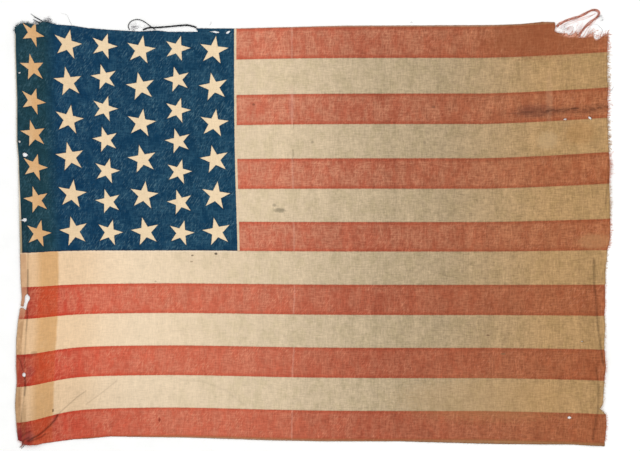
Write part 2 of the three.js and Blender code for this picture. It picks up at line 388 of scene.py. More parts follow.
def dyedWool():
    # the stripes, canton and stars with their faded colours, on the flat cloth's own coordinates
    tree, given, end = nodeGroup(
        "dyed wool", {"Flat": ("vector", None)},
        {"Colour": ("colour", None), "Cream": ("colour", None), "Red": ("value", None),
         "Blue": ("value", None), "Star": ("value", None), "Border": ("value", None),
         "Seam": ("value", None), "First column": ("value", None)})
    bleed = addNode(tree, "ShaderNodeTexNoise", noise_dimensions="3D")
    feed(tree, bleed.inputs["Vector"], given["Flat"])
    bleed.inputs["Scale"].default_value = 340
    bleed.inputs["Detail"].default_value = 1
    soft = scaled(tree, move(tree, "SUBTRACT", bleed.outputs["Color"], (0.5, 0.5, 0.5)), 1.1 * mm)
    place = split(tree, scaled(tree, move(tree, "ADD", given["Flat"], soft), 1 / mm))
    across = place[0]
    down = minus(tree, flatHeight / mm, place[1])

    edges = pattern["stripeEdges"]
    last = len(edges) - 1
    stops = [(edge / edges[-1], (k / last, k / last, k / last, 1)) for k, edge in enumerate(edges)]
    stripe = product(tree, ramp(tree, calc(tree, "DIVIDE", down, edges[-1]), stops), float(last))
    redBand = rise(tree, calc(tree, "PINGPONG", calc(tree, "ADD", stripe, 0.5), 1.0), 0.49, 0.51)
    toEdge = calc(tree, "PINGPONG", stripe, 0.5)

    canton = pattern["canton"]
    above = rise(tree, down, canton["bottom"] + 0.4, canton["bottom"] - 0.4)
    left = rise(tree, across, canton["right"] + 0.4, canton["right"] - 0.4)
    field = product(tree, above, left)
    printed = product(tree, field, rise(tree, down, -3, 0))
    stripesFrom = canton["stripesFrom"]
    corner = product(tree, above, rise(tree, across, stripesFrom + 0.4, stripesFrom - 0.4))
    notCorner = minus(tree, 1.0, corner)
    red = product(tree, redBand, notCorner)

    columns = pattern["columns"]
    column = calc(tree, "ROUND", calc(tree, "DIVIDE", minus(tree, across, columns["first"]),
                                      columns["pitch"]))
    fromColumn = minus(tree, across, timesPlus(tree, column, columns["pitch"],
                                                     columns["first"]))
    odd = calc(tree, "ABSOLUTE", calc(tree, "MODULO", column, 2))
    smaller = rise(tree, down, 90, 60, pattern["firstStarSmaller"], pattern["firstColumnSmaller"])
    shrink = rise(tree, column, 0.2, 0.8, 1.0, smaller)
    small, smallRim = starMask(tree, fromColumn, down, pattern["smallStars"], minus(tree, 1.0, odd),
                               shrink)
    large, largeRim = starMask(tree, fromColumn, down, pattern["largeStars"], odd, shrink)
    star = product(tree, calc(tree, "MAXIMUM", small, large), printed)
    blue = product(tree, field, minus(tree, 1.0, star))
    outline = product(tree, calc(tree, "MAXIMUM", smallRim, largeRim), blue)

    share = calc(tree, "DIVIDE", across, flatLength / mm)
    tones = {name: ramp(tree, share, [(at * mm / flatLength, paint(*tone)) for at, tone in stops])
             for name, stops in fading.items()}
    ground = blendColours(tree, star, tones["cream"], paint(232, 208, 172))
    withRed = blendColours(tree, red, ground, tones["red"])
    withBlue = blendColours(tree, blue, withRed, tones["blue"])
    foot = product(tree, rise(tree, down, canton["bottom"] - 3, canton["bottom"] - 1), blue, 0.6)
    shade = calc(tree, "MAXIMUM", product(tree, outline, 0.45), foot)
    pale = product(tree, left, rise(tree, down, canton["bottom"] + 3.5, canton["bottom"] + 1.5),
                   minus(tree, 1.0, above), 0.5)
    withPale = blendColours(tree, pale, withBlue, paint(244, 230, 208))
    feed(tree, end.inputs["Colour"], blendColours(tree, shade, withPale, paint(10, 30, 46)))
    feed(tree, end.inputs["Cream"], tones["cream"])
    feed(tree, end.inputs["Red"], red)
    feed(tree, end.inputs["Blue"], blue)
    feed(tree, end.inputs["Star"], star)
    feed(tree, end.inputs["Border"], product(tree, rise(tree, toEdge, 0.15, 0.03), notCorner))
    feed(tree, end.inputs["Seam"], product(tree, rise(tree, toEdge, 0.035, 0.01), notCorner))
    feed(tree, end.inputs["First column"], rise(tree, across, 62.0, 56.0))
    return tree


effects = {"weave": plainWeave(), "streaks": threadStreaks(), "rubs": rubbedLines(), "spot": softSpot(),
           "dye": dyedWool()}
print("shared effects made")


# The cloth's material: dye, wear, stains, painted shade and weave

wear = {
    "thread": 0.62, "slub": 0.3, "cloud": 0.34, "band": 0.26, "specks": 0.3, "redFaded": 0.52,
    "redRubs": 0.42, "blueLift": 0.5, "blueRubs": 0.5, "weaveDepth": 0.3,
}

# Where marks lie on the flat cloth, metres from the hoist or down from the top
marks = {"staffEdge": 0.0595, "foldLine": 0.4685, "dirtyLineDown": 0.1502}

# Display colours that wear and dirt turn the wool to
tints = {
    "wornRed": (202, 116, 82), "rubbedRed": (228, 156, 124), "redSeam": (124, 50, 34),
    "dustyBlue": (60, 98, 114), "rubbedBlue": (92, 124, 136), "staffCream": (205, 156, 101),
    "staffRed": (188, 78, 34), "staffStar": (208, 158, 104), "besideStaff": (222, 186, 142),
    "foldedRed": (224, 172, 152), "greenish": (238, 242, 226), "hemBackTop": (228, 212, 190),
    "hemBackFoot": (164, 146, 116), "hemBackDirty": (170, 146, 112), "hemLip": (232, 222, 202),
    "upperHem": (206, 164, 128), "dirtyHem": (142, 100, 62), "selvedge": (146, 104, 66),
    "tornYarns": (236, 176, 156), "dirtyLine": (70, 38, 28),
}

# Stains on the flat cloth, and one patch of painted shade: place from hoist and from the top, half sizes,
# colour, strength
stainsAndShade = (
    (447, 315.5, 11, 4.6, (112, 104, 86), 0.6), (438, 306.5, 4, 3, (120, 110, 90), 0.5),
    (335, 391.6, 3.2, 2.4, (60, 50, 40), 0.85), (294, 394.6, 2.4, 1.6, (84, 66, 48), 0.7),
    (292.5, 405.5, 3.2, 1.4, (120, 92, 66), 0.6), (61.5, 652.6, 1.8, 3, (84, 60, 30), 0.8),
    (829.6, 562, 5, 1.6, (120, 96, 70), 0.6), (804, 530, 3.4, 1.6, (90, 60, 44), 0.6),
    (243.7, 681.7, 2, 4.6, (128, 44, 30), 0.8), (405, 131.6, 3, 2.4, (120, 66, 50), 0.7),
    (505, 198, 3, 2.6, (140, 126, 104), 0.6), (697, 199, 3, 3, (130, 116, 92), 0.55),
    (712, 138, 4, 2.4, (110, 76, 56), 0.5), (230, 440, 2.4, 1.8, (150, 130, 104), 0.5),
    (470, 132, 6, 34, (222, 170, 150), 0.16), (910, 128, 7, 52, (212, 168, 132), 0.17),
    (888, 148, 38, 14, (104, 62, 52), 0.4), (985, 372, 34, 15, (176, 132, 90), 0.45),
    (906, 200, 20, 18, (190, 164, 126), 0.35), (962, 190, 30, 24, (160, 112, 62), 0.3),
    (12, 660, 5, 34, (124, 92, 52), 0.35), (24, 552, 7, 5, (120, 84, 60), 0.4),
    # the first patch in the next row is painted shade, the grey-pink of the crumpled lower hoist corner
    (23, 686, 9, 8, (152, 104, 94), 0.4), (5, 690, 7, 26, (112, 28, 42), 0.65),
    (4, 574, 5, 24, (150, 42, 38), 0.5), (900, 26, 120, 34, (138, 76, 46), 0.6),
    (20, 581, 9, 11, (126, 52, 58), 0.3), (15, 688, 15, 26, (128, 28, 30), 0.5),
    (800, 640, 170, 44, (176, 136, 88), 0.25),
)


def darkStreak(tree, flat):
    # the dirty line that runs in from the fly edge along the upper middle stripe
    place = split(tree, flat)
    wobble = grain(tree, stretched(tree, flat, (40, 260, 1), shift=4), 1, 3, 0.7)
    down = minus(tree, flatHeight - marks["dirtyLineDown"], place[1])
    off = calc(tree, "ABSOLUTE", timesPlus(tree, minus(tree, wobble, 0.5), 0.012, down))
    broken = grain(tree, stretched(tree, flat, (90, 200, 1), shift=11), 1, 2, 0.6)
    core = product(tree, rise(tree, off, 0.0046, 0.0006), rise(tree, wobble, 0.36, 0.54),
                   rise(tree, broken, 0.36, 0.56, 1.0, 0.35))
    halo = product(tree, rise(tree, off, 0.011, 0.001), rise(tree, broken, 0.3, 0.6, 0.62, 0.2))
    return product(tree, calc(tree, "MAXIMUM", core, halo), rise(tree, place[0], 0.79, 0.93, 1.0, 0.1),
                   rise(tree, place[0], 0.77, 0.8))


def seenOnCloth(tree):
    # what the cloth's effects share: places on it, its dye, and noises along its yarns
    flat = attribute(tree, "flat")["Vector"]
    across, up = split(tree, flat)[0:2]
    dye = useGroup(tree, effects["dye"], Flat=flat)
    streaks = useGroup(tree, effects["streaks"], Vector=flat)
    strong = [rise(tree, streaks[name], 0.42, 0.66) for name in ("Weft", "Warp")]
    light = minus(tree, 1.0, calc(tree, "MAXIMUM", dye["Red"], dye["Blue"]))
    plain = minus(tree, light, dye["Star"])
    browned = product(tree, plain, rise(tree, across, 0.72, 0.3, 0.3))
    soiled = minus(tree, rise(tree, across, 0.2, 0.85, 1.15, 0.75), browned)
    return {
        "flat": flat, "across": across, "up": up, "dye": dye, "streaks": streaks, "light": light,
        "plain": plain,
        "fromHoist": attribute(tree, "fromHoist")["Fac"],
        "fromRim": attribute(tree, "fromRim")["Fac"],
        "crease": attribute(tree, "crease")["Fac"],
        "rubs": useGroup(tree, effects["rubs"], Vector=flat)["Lines"],
        "clouds": grain(tree, stretched(tree, flat, (52, 36, 1), shift=6), 1, 5, 0.7),
        "patches": grain(tree, stretched(tree, flat, (70, 30, 1), shift=8), 1, 3, 0.6),
        "bands": grain(tree, stretched(tree, flat, (60, 4, 1), shift=2), 1, 3, 0.6),
        "lattice": calc(tree, "MAXIMUM", *strong),
        "soiled": minus(tree, soiled, product(tree, dye["Star"], 0.4)),
    }


def wornRed(tree, wool, colour):
    # red worn to a paler wool in the middle of each stripe, thread by thread
    dye = wool["dye"]
    offBorder = timesPlus(tree, dye["Border"], -0.8, 1.0)
    faded = product(tree, offBorder, rise(tree, wool["patches"], 0.34, 0.62, 1.0, 0.38),
                    timesPlus(tree, wool["lattice"], 0.42, 0.5))
    upper = rise(tree, wool["up"], 0.18, 0.4, 1.0, 0.55)
    paler = blendColours(tree, 0.45, dye["Cream"], paint(*tints["wornRed"]))
    colour = blendColours(tree, product(tree, faded, dye["Red"], upper, wear["redFaded"]), colour, paler)
    nearHoist = rise(tree, wool["across"], 0.75, 0.3, 1.0, 0.45)
    colour = tinted(tree, colour, tints["rubbedRed"], wool["rubs"], dye["Red"], nearHoist, wear["redRubs"])
    return tinted(tree, colour, tints["redSeam"], dye["Seam"], 0.14)


def wornBlue(tree, wool, colour):
    # blue worn to a dusty lighter blue, in threads and slanting rubs
    blue = wool["dye"]["Blue"]
    lifted = product(tree, blue, timesPlus(tree, wool["lattice"], 0.7, 0.1),
                     rise(tree, wool["clouds"], 0.36, 0.64))
    offHoist = rise(tree, wool["across"], 0.045, 0.1, 1.0, 0.55)
    colour = tinted(tree, colour, tints["dustyBlue"], lifted, offHoist, wear["blueLift"])
    return tinted(tree, colour, tints["rubbedBlue"], wool["rubs"], blue, offHoist, wear["blueRubs"])


def staffBrown(tree, wool, colour):
    # brown of the staff along the hoist, with its sharp inner edge, and a fainter second band
    across, light, dye = wool["across"], wool["light"], wool["dye"]
    innerEdge = timesPlus(tree, grain(tree, wool["flat"], 60, 2), 0.003, marks["staffEdge"])
    staff = product(tree, rise(tree, across, 0.016, 0.036, 1.0, 0.1),
                    rise(tree, minus(tree, across, innerEdge), 0.003, -0.002))
    uneven = rise(tree, wool["clouds"], 0.15, 0.5, 1.0, 0.6)
    colour = tinted(tree, colour, tints["staffCream"], staff, light, uneven)
    colour = tinted(tree, colour, tints["staffRed"], staff, dye["Red"], 0.5)
    rusty = rise(tree, wool["clouds"], 0.3, 0.62, 1.0, 0.45)
    colour = tinted(tree, colour, tints["staffStar"], dye["Star"], dye["First column"], rusty)
    return tinted(tree, colour, tints["besideStaff"], rise(tree, across, 0.15, 0.1), light, 0.3)


def unevenLevel(tree, wool):
    # uneven yarn, bands, clouds and dirt specks, as a level round 1
    across, up, soiled, streaks = wool["across"], wool["up"], wool["soiled"], wool["streaks"]
    yarnTone = calc(tree, "ADD", minus(tree, streaks["Weft"], 0.5), minus(tree, streaks["Warp"], 0.5))
    level = timesPlus(tree, yarnTone, product(tree, soiled, wear["thread"]), 1.0)
    for value, share in ((streaks["Slubs"], "slub"), (wool["clouds"], "cloud"), (wool["bands"], "band")):
        amount = product(tree, soiled, wear[share])
        level = product(tree, level, timesPlus(tree, minus(tree, value, 0.5), amount, 1.0))
    specks = product(tree, rise(tree, grain(tree, wool["flat"], 420, 2, 0.6), 0.6, 0.72),
                     rise(tree, wool["patches"], 0.4, 0.6))
    level = product(tree, level, timesPlus(tree, specks, product(tree, soiled, -wear["specks"]), 1.0))
    lower = product(tree, rise(tree, up, 0.14, 0.06), rise(tree, across, 0.4, 0.1), 0.1)
    middle = product(tree, rise(tree, up, 0.36, 0.42), rise(tree, across, 0.3, 0.4),
                     rise(tree, across, 0.62, 0.5))
    return timesPlus(tree, middle, 0.035, minus(tree, level, lower))


def foldedOnce(tree, wool, colour, level):
    # the line where the flag lay folded: brighter just before it, and a pale rub where it is red
    foldLine = timesPlus(tree, grain(tree, wool["flat"], 30, 1), 0.004, marks["foldLine"])
    fromFold = minus(tree, wool["across"], foldLine)
    before = product(tree, rise(tree, fromFold, -0.001, 0.001, 0.0, 0.03),
                     rise(tree, wool["across"], 0.4, 0.46))
    onFold = rise(tree, calc(tree, "ABSOLUTE", fromFold), 0.0022, 0.0006, 0.22)
    colour = tinted(tree, colour, tints["foldedRed"], onFold, wool["dye"]["Red"])
    return shaded(tree, colour, calc(tree, "ADD", level, before))


def hemColours(tree, wool, colour):
    # the turned hem: its pale back shows beside the canton, pinkish brown below
    up, fromHoist, clouds = wool["up"], wool["fromHoist"], wool["clouds"]
    edgeWidth = rise(tree, up, 0.5, 0.34, 3.6 * mm, 0.3 * mm)
    back = product(tree, rise(tree, up, 0.324, 0.326),
                   rise(tree, minus(tree, fromHoist, edgeWidth), 0.6 * mm, -0.4 * mm))
    belowCorner = rise(tree, up, 0.6705, 0.6665)
    mottled = rise(tree, clouds, 0.3, 0.62, 1.0, 0.55)
    backTone = blendColours(tree, rise(tree, up, 0.42, 0.35), paint(*tints["hemBackTop"]),
                            paint(*tints["hemBackFoot"]))
    backTone = blendColours(tree, mottled, paint(*tints["hemBackDirty"]), backTone)
    colour = blendColours(tree, product(tree, back, belowCorner), colour, backTone)
    colour = tinted(tree, colour, tints["hemLip"], rise(tree, fromHoist, 2.0 * mm, 0.6 * mm), belowCorner,
                    rise(tree, up, 0.36, 0.4, 0.85, 0.4))
    below = product(tree, rise(tree, fromHoist, 11.5 * mm, 9 * mm), rise(tree, up, 0.326, 0.322))
    upperHem = product(tree, below, rise(tree, up, 0.2, 0.24))
    colour = tinted(tree, colour, tints["upperHem"], upperHem, mottled, 0.72)
    colour = tinted(tree, colour, tints["dirtyHem"], below, rise(tree, clouds, 0.3, 0.6),
                    rise(tree, up, 0.26, 0.2, 1.0, 0.4), timesPlus(tree, wool["dye"]["Red"], -0.4, 0.55))
    return tinted(tree, colour, tints["selvedge"], rise(tree, up, 0.0045, 0.001),
                  rise(tree, wool["across"], 0.02, 0.05), 0.5)


def stainsShadeAndEdges(tree, wool, colour):
    # stains, painted shade of the crumpled corner and along the creases, pale slanting yarns of the torn
    # corner, the dirty line, and darker cut edges
    flat, fromRim = wool["flat"], wool["fromRim"]
    # the stains, and the painted shade of the crumpled corner
    for centreX, centreDown, sizeX, sizeY, tone, strength in stainsAndShade:
        centre = (centreX * mm, flatHeight - centreDown * mm, 0)
        size = (sizeX * mm, sizeY * mm, 1)
        mask = useGroup(tree, effects["spot"], Vector=flat, Centre=centre, Size=size)["Mask"]
        colour = tinted(tree, colour, tone, mask, strength)
    torn = product(tree, rise(tree, fromRim, 7 * mm, 1 * mm), rise(tree, wool["across"], 0.925, 0.935),
                   rise(tree, wool["up"], 0.683, 0.689))
    slanting = grain(tree, stretched(tree, flat, (110, 700, 1), turn=math.radians(38), shift=5), 1, 1)
    colour = tinted(tree, colour, tints["tornYarns"], torn, rise(tree, slanting, 0.42, 0.58, 0.8))
    colour = tinted(tree, colour, tints["dirtyLine"], darkStreak(tree, flat), 0.8)
    # painted shade along the creases: the colour darkened as far as the crease attribute reaches
    colour = blendColours(tree, wool["crease"], colour, shaded(tree, colour, 0.3))
    # the colour darkened within 2 mm of every cut edge
    darkerNearRim = product(tree, rise(tree, fromRim, 2.0 * mm, 0.3 * mm), 0.35)
    return blendColours(tree, darkerNearRim, colour, shaded(tree, colour, 0.45))


def woolBunting():
    material, tree, shader = newMaterial("wool bunting", sheen=0.03)
    wool = seenOnCloth(tree)
    streaks = wool["streaks"]
    colour = wool["dye"]["Colour"]
    for effect in (wornRed, wornBlue, staffBrown):
        colour = effect(tree, wool, colour)
    colour = foldedOnce(tree, wool, colour, unevenLevel(tree, wool))
    greenish = product(tree, rise(tree, wool["clouds"], 0.54, 0.4, 0.3), wool["plain"],
                       rise(tree, wool["across"], 0.15, 0.4))
    colour = blendColours(tree, greenish, colour, paint(*tints["greenish"]), "MULTIPLY")
    for effect in (hemColours, stainsShadeAndEdges):
        colour = effect(tree, wool, colour)
    feed(tree, shader.inputs["Base Color"], colour)

    weave = useGroup(tree, effects["weave"], Vector=wool["flat"])["Height"]
    height = timesPlus(tree, weave, wear["weaveDepth"], calc(tree, "ADD", streaks["Weft"], streaks["Warp"]))
    addBump(tree, shader, height, 0.5 * mm, 0.5)
    feed(tree, shader.inputs["Roughness"], rise(tree, streaks["Slubs"], 0.2, 0.8, 0.98, 0.88))
    return material


def ravelledWool():
    # frayed ends keep the colour of the place that they grew from
    material, tree, shader = newMaterial("ravelled wool", sheen=0.1)
    flat = attribute(tree, "flat")["Vector"]
    dye = useGroup(tree, effects["dye"], Flat=flat)
    streaks = useGroup(tree, effects["streaks"], Vector=flat)
    level = timesPlus(tree, streaks["Slubs"], 0.5, 0.8)
    paler = blendColours(tree, product(tree, dye["Red"], 0.5), dye["Colour"], paint(230, 160, 140))
    fly = rise(tree, split(tree, flat)[0], 0.9, 0.95, 0.18)
    paler = blendColours(tree, fly, paler, paint(240, 212, 190))
    feed(tree, shader.inputs["Base Color"], shaded(tree, paler, level))
    return material


def yarnWool(name, dark, light):
    material, tree, shader = newMaterial(name, sheen=0.12)
    spot = addNode(tree, "ShaderNodeTexCoord").outputs["Object"]
    patchy = grain(tree, spot, 320, 3, 0.6)
    fibres = grain(tree, spot, 2600, 2, 0.6)
    shade = timesPlus(tree, fibres, 0.4, product(tree, patchy, 0.6))
    feed(tree, shader.inputs["Base Color"], ramp(tree, shade, [(0.36, paint(*dark)), (0.64, paint(*light))]))
    addBump(tree, shader, fibres, 0.2 * mm, 0.6)
    return material


materials = {
    "cloth": woolBunting(),
    "ends": ravelledWool(),
    "blueYarn": yarnWool("blue yarn", (2, 3, 7), (14, 18, 26)),
    "redYarn": yarnWool("red yarn", (112, 36, 20), (236, 150, 120)),
    "palePink": yarnWool("pale pink fibre", (190, 112, 92), (226, 160, 142)),
    "greyFibre": yarnWool("grey fibre", (104, 106, 116), (176, 172, 172)),
    "darkFibre": yarnWool("dark fibre", (6, 12, 20), (36, 48, 60)),
}
print("materials made")


# The loose yarns, plies twisted along the routes that their solids follow

yarns = {
    "selvedge_yarn": {
        "diameter": 2.4, "plies": 3, "ply": 0.65, "twist": 16, "loose": 1.3, "seed": 3,
        "material": "blueYarn", "slot": "blue_yarn", "route": [
            (-291.5, 347.9, 1.3), (-288, 349.3, 1.5), (-284, 350.6, 2.3), (-279.5, 351.4, 3.3),
            (-275, 351.6, 3.5), (-270, 351.8, 2.5), (-265, 352, 1.6), (-256, 352.7, 1.25),
            (-246, 353.6, 1.25), (-236, 354.5, 1.25), (-226, 355.4, 1.25), (-218, 355.9, 1.25),
            (-211, 355, 1.25), (-205, 353.6, 1.25), (-200.2, 351.9, 1.25),
        ],
    },
    "navy_yarn": {
        "diameter": 1.6, "plies": 2, "ply": 0.55, "twist": 7, "loose": 0.2, "seed": 5,
        "material": "blueYarn", "slot": "blue_yarn", "route": [
            (-270.5, 348.4, 0.85), (-273.2, 350.2, 0.85), (-276, 352.1, 0.85), (-279.6, 354.6, 0.85),
            (-283.8, 358, 0.85), (-288.2, 361.2, 0.85), (-293, 363.8, 0.85), (-298, 365.4, 0.85),
            (-303, 365.5, 0.85), (-308.2, 364.4, 0.85), (-312.6, 361.8, 0.85), (-315.4, 358.2, 0.85),
            (-316.6, 354.4, 0.85), (-315.8, 350.8, 0.85), (-313.9, 348.1, 0.85),
        ],
    },
    "red_yarn": {
        "diameter": 2.0, "plies": 7, "ply": 0.34, "twist": 110, "loose": 3.0, "seed": 8,
        "material": "redYarn", "slot": "red_yarn", "route": [
            (414.5, 353.2, 1.05), (417.4, 355.6, 1.05), (420.9, 358.3, 1.05), (426, 361.3, 1.05),
            (433, 364.4, 1.05), (441, 367, 1.05), (449, 369.2, 1.05), (456, 371.8, 1.05), (463, 375.3, 1.05),
            (469, 378.6, 1.05), (475, 381, 1.05), (480.6, 381.8, 1.05), (485.2, 380.2, 1.05),
            (487.2, 376.4, 1.05), (485.6, 371.9, 1.05), (481.4, 368, 1.05), (475.6, 363.6, 1.05),
            (469.2, 358.3, 1.05), (463.4, 352.9, 1.05), (458.4, 347.2, 1.05), (454.9, 341.6, 1.05),
            (452.8, 335.8, 1.05),
        ],
    },
}


def sideways(way):
    # two directions square to a way that lies nearly flat
    way = Vector(way).normalized()
    across = way.cross(Vector((0, 0, 1))).normalized()
    return across, across.cross(way)


def tubeAlong(path, radii, sides):
    verts, faces = [], []
    for point, way, radius in zip(path, np.gradient(path, axis=0), radii):
        across, up = sideways(way)
        for k in range(sides):
            angle = 2 * math.pi * k / sides
            verts.append(Vector(point) + float(radius) * (math.cos(angle) * across + math.sin(angle) * up))
    for i in range(len(path) - 1):
        for k in range(sides):
            a, b = i * sides + k, i * sides + (k + 1) % sides
            faces.append((a, b, b + sides, a + sides))
    faces.append(tuple(reversed(range(sides))))
    faces.append(tuple(range(len(verts) - sides, len(verts))))
    return verts, faces


def joined(tubes):
    # one list of points and faces from several tubes
    verts, faces = [], []
    for tubeVerts, tubeFaces in tubes:
        faces += [tuple(i + len(verts) for i in face) for face in tubeFaces]
        verts += tubeVerts
    return verts, faces


def plyPath(line, step, ply, settings):
    # one ply winding round the route, looser where the yarn has opened
    radius = settings["diameter"] / 2 * mm
    own = radius * settings["ply"]
    path, radii = [], []
    for i, (point, way) in enumerate(zip(line, np.gradient(line, axis=0))):
        across, up = sideways(way)
        seed = Vector((i * step * 70, ply * 9, settings["seed"]))
        turns = i * step / (settings["twist"] * mm) + ply / settings["plies"]
        phase = 2 * math.pi * turns + noise.noise(seed)
        opened = 1 + settings["loose"] * (0.5 + noise.noise(seed + Vector((40, 0, 0))))
        off = (radius - own) * opened
        place = Vector(point) + off * (math.cos(phase) * across + 0.6 * math.sin(phase) * up)
        place.z = max(place.z, own + 0.05 * mm)
        path.append(np.array(place))
        radii.append(own * (1 + 0.35 * noise.noise(seed * 4)))
    return np.array(path), radii


def twistedYarn(name, settings):
    route = smoothCurve(np.array(settings["route"]) * mm, 8)
    step = 0.6 * mm
    line = evenly(route, step)
    plies = [tubeAlong(*plyPath(line, step, ply, settings), 6) for ply in range(settings["plies"])]
    made = meshObject(name + "_twisted", *joined(plies), materials[settings["material"]])
    shadeSmooth(made)
    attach(made, "root")
    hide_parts(name)
    return made


for name, settings in yarns.items():
    twistedYarn(name, settings)
print("loose yarns made")


# The cloth's cut edge and holes, read from its solid

rim = {
    "toothCorner": 118, "spacing": 2.2, "ragged": 0.34, "straight": 0.03, "coarse": 420, "fine": 1100,
    "wallTilt": 0.02, "topTilt": 0.1, "flyEnd": 0.47, "combMiddle": -0.012, "combHalf": 0.34,
    "tuftsLeftOf": -0.44, "tuftsAbove": 0.356,
}


def rimLoops(node):
    # the loops where the solid's top meets its cut walls, longest first, seen from above
    bm = bmesh.new()
    bm.from_mesh(node.data)
    bmesh.ops.remove_doubles(bm, verts=bm.verts, dist=1e-6)
    bm.normal_update()
    wall = {face for face in bm.faces if abs(face.normal.z) < rim["wallTilt"]}
    beside = {}
    for edge in bm.edges:
        inWall = sum(face in wall for face in edge.link_faces)
        if inWall == 1 and any(face.normal.z > rim["topTilt"] for face in edge.link_faces):
            a, b = edge.verts
            beside.setdefault(a.index, []).append(b.index)
            beside.setdefault(b.index, []).append(a.index)
    bm.verts.ensure_lookup_table()
    found, seen = [], set()
    for start in beside:
        if start in seen:
            continue
        loop, ahead = [], start
        while ahead is not None:
            loop.append(ahead)
            seen.add(ahead)
            ahead = next((v for v in beside[ahead] if v not in seen), None)
        found.append(np.array([bm.verts[i].co.to_2d()[:] for i in loop]))
    bm.free()
    found = [loop if areaOf(loop) > 0 else loop[::-1] for loop in found]
    return sorted(found, key=areaOf, reverse=True)


def areaOf(loop):
    x, y = loop[:, 0], loop[:, 1]
    return 0.5 * float(np.sum(x * np.roll(y, -1) - np.roll(x, -1) * y))


def withoutStraights(loop):
    # drops the points that lie on a straight run between their neighbours
    back, ahead = np.roll(loop, 1, axis=0), np.roll(loop, -1, axis=0)
    way = ahead - back
    step = loop - back
    off = np.abs(way[:, 0] * step[:, 1] - way[:, 1] * step[:, 0]) / np.linalg.norm(way, axis=1)
    return loop[off > rim["straight"] * mm]


def withoutTeeth(loop):
    # the comb of the fly end and the tufts of the upper hoist corner are made of yarn ends instead
    back, ahead = np.roll(loop, 1, axis=0) - loop, np.roll(loop, -1, axis=0) - loop
    cosine = np.sum(back * ahead, axis=1) / (np.linalg.norm(back, axis=1) * np.linalg.norm(ahead, axis=1))
    outward = ahead[:, 0] * back[:, 1] - ahead[:, 1] * back[:, 0] > 0
    x, y = loop[:, 0], loop[:, 1]
    comb = (x > rim["flyEnd"]) & (np.abs(y - rim["combMiddle"]) < rim["combHalf"])
    frayed = comb | ((x < rim["tuftsLeftOf"]) & (y > rim["tuftsAbove"]))
    return loop[~(frayed & outward & (cosine > math.cos(math.radians(rim["toothCorner"]))))]


def raggedLoop(loop, seed):
    # closely spaced points, moved in and out a little where yarns have worn away
    closed = evenly(np.vstack([loop, loop[:1]]), rim["spacing"] * mm)[:-1]
    ahead = np.roll(closed, -1, axis=0) - np.roll(closed, 1, axis=0)
    outward = np.stack([ahead[:, 1], -ahead[:, 0]], axis=1) / np.linalg.norm(ahead, axis=1)[:, None]
    coarse, fine = rim["coarse"], rim["fine"]
    moved = [noise.noise(Vector((x * coarse, y * coarse, seed)))
             + 0.5 * noise.noise(Vector((x * fine, y * fine, seed))) for x, y in closed]
    return closed + outward * np.array(moved)[:, None] * rim["ragged"] * mm, outward


def inside(points, shapes):
    # which points lie on cloth: inside the outline and in no hole
    found = np.zeros(len(points), bool)
    x, y = points[:, 0], points[:, 1]
    for shape in shapes:
        for (x0, y0), (x1, y1) in zip(shape, np.roll(shape, -1, axis=0)):
            if y0 != y1:
                found ^= ((y0 > y) != (y1 > y)) & (x < x0 + (y - y0) * (x1 - x0) / (y1 - y0))
    return found


solidLoops = rimLoops(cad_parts["cloth"])
solidLoops[0] = withoutTeeth(withoutStraights(solidLoops[0]))
ragged = [raggedLoop(loop, seed) for seed, loop in enumerate(solidLoops)]
loops = [points for points, outward in ragged]
print("cut edges read:", len(loops), "loops")


# Where each place on the laid cloth was on the flat cloth, millimetres

pull = {
    "left": 508, "top": 353.1, "stretch": 1.0068,
    "hoistUp": {"by": 33, "fades": 70, "above": 370},
    "narrowed": {"by": 0.0158, "about": 279, "centre": 254, "reach": 190},
    "hoistDown": {"by": 20.5, "fades": 67, "below": 400, "over": 260},
    "flySpread": {"from": 792, "over": 209, "power": 1.35, "top": -9.5, "gain": 15.8, "bump": -5.5, "at": 230,
                  "reach": 140},
    "starsDown": {"by": 1.5, "across": 270, "down": 130, "reach": 150},
    "cornerUp": {"by": -2.4, "across": 25, "down": 20, "reach": 62},
    "starsLow": {"by": -2.4, "across": 125, "down": 334, "reach": 40},
    "borderDown": {"by": 2.8, "across": 5, "down": 392, "reach": 44},
    "topStarsIn": {"by": 2.0, "across": 105, "down": 30, "reach": 55},
    "starsIn": {"by": 1.7, "across": 165, "down": 90, "reach": 130},
    "swung": {"by": 11.5, "centre": -70, "reach": 165, "less": 5.5},
}


def patchOf(settings, across, down):
    # a smooth local pull, full at its middle
    far = ((across - settings["across"]) ** 2 + (down - settings["down"]) ** 2) / settings["reach"] ** 2
    return settings["by"] * np.exp(-far)


def sagAt(across, down):
    # how far the laid cloth sits below its even place
    up, narrowed, sag, fly = pull["hoistUp"], pull["narrowed"], pull["hoistDown"], pull["flySpread"]
    found = -up["by"] * np.exp(-np.maximum(across, 0) / up["fades"]) * np.clip(1 - down / up["above"], 0, 2)
    waist = np.exp(-((across - narrowed["centre"]) / narrowed["reach"]) ** 2)
    found -= narrowed["by"] * (down - narrowed["about"]) * waist
    lowest = np.maximum(0, (down - sag["below"]) / sag["over"])
    found += sag["by"] * np.exp(-(across / sag["fades"]) ** 2) * lowest
    for name in ("starsDown", "cornerUp", "starsLow", "borderDown"):
        found += patchOf(pull[name], across, down)
    spread = np.maximum(0, (across - fly["from"]) / fly["over"]) ** fly["power"]
    bump = fly["bump"] * np.exp(-((down - fly["at"]) / fly["reach"]) ** 2)
    return found + spread * (fly["top"] + fly["gain"] * down / (flatHeight / mm) + bump)


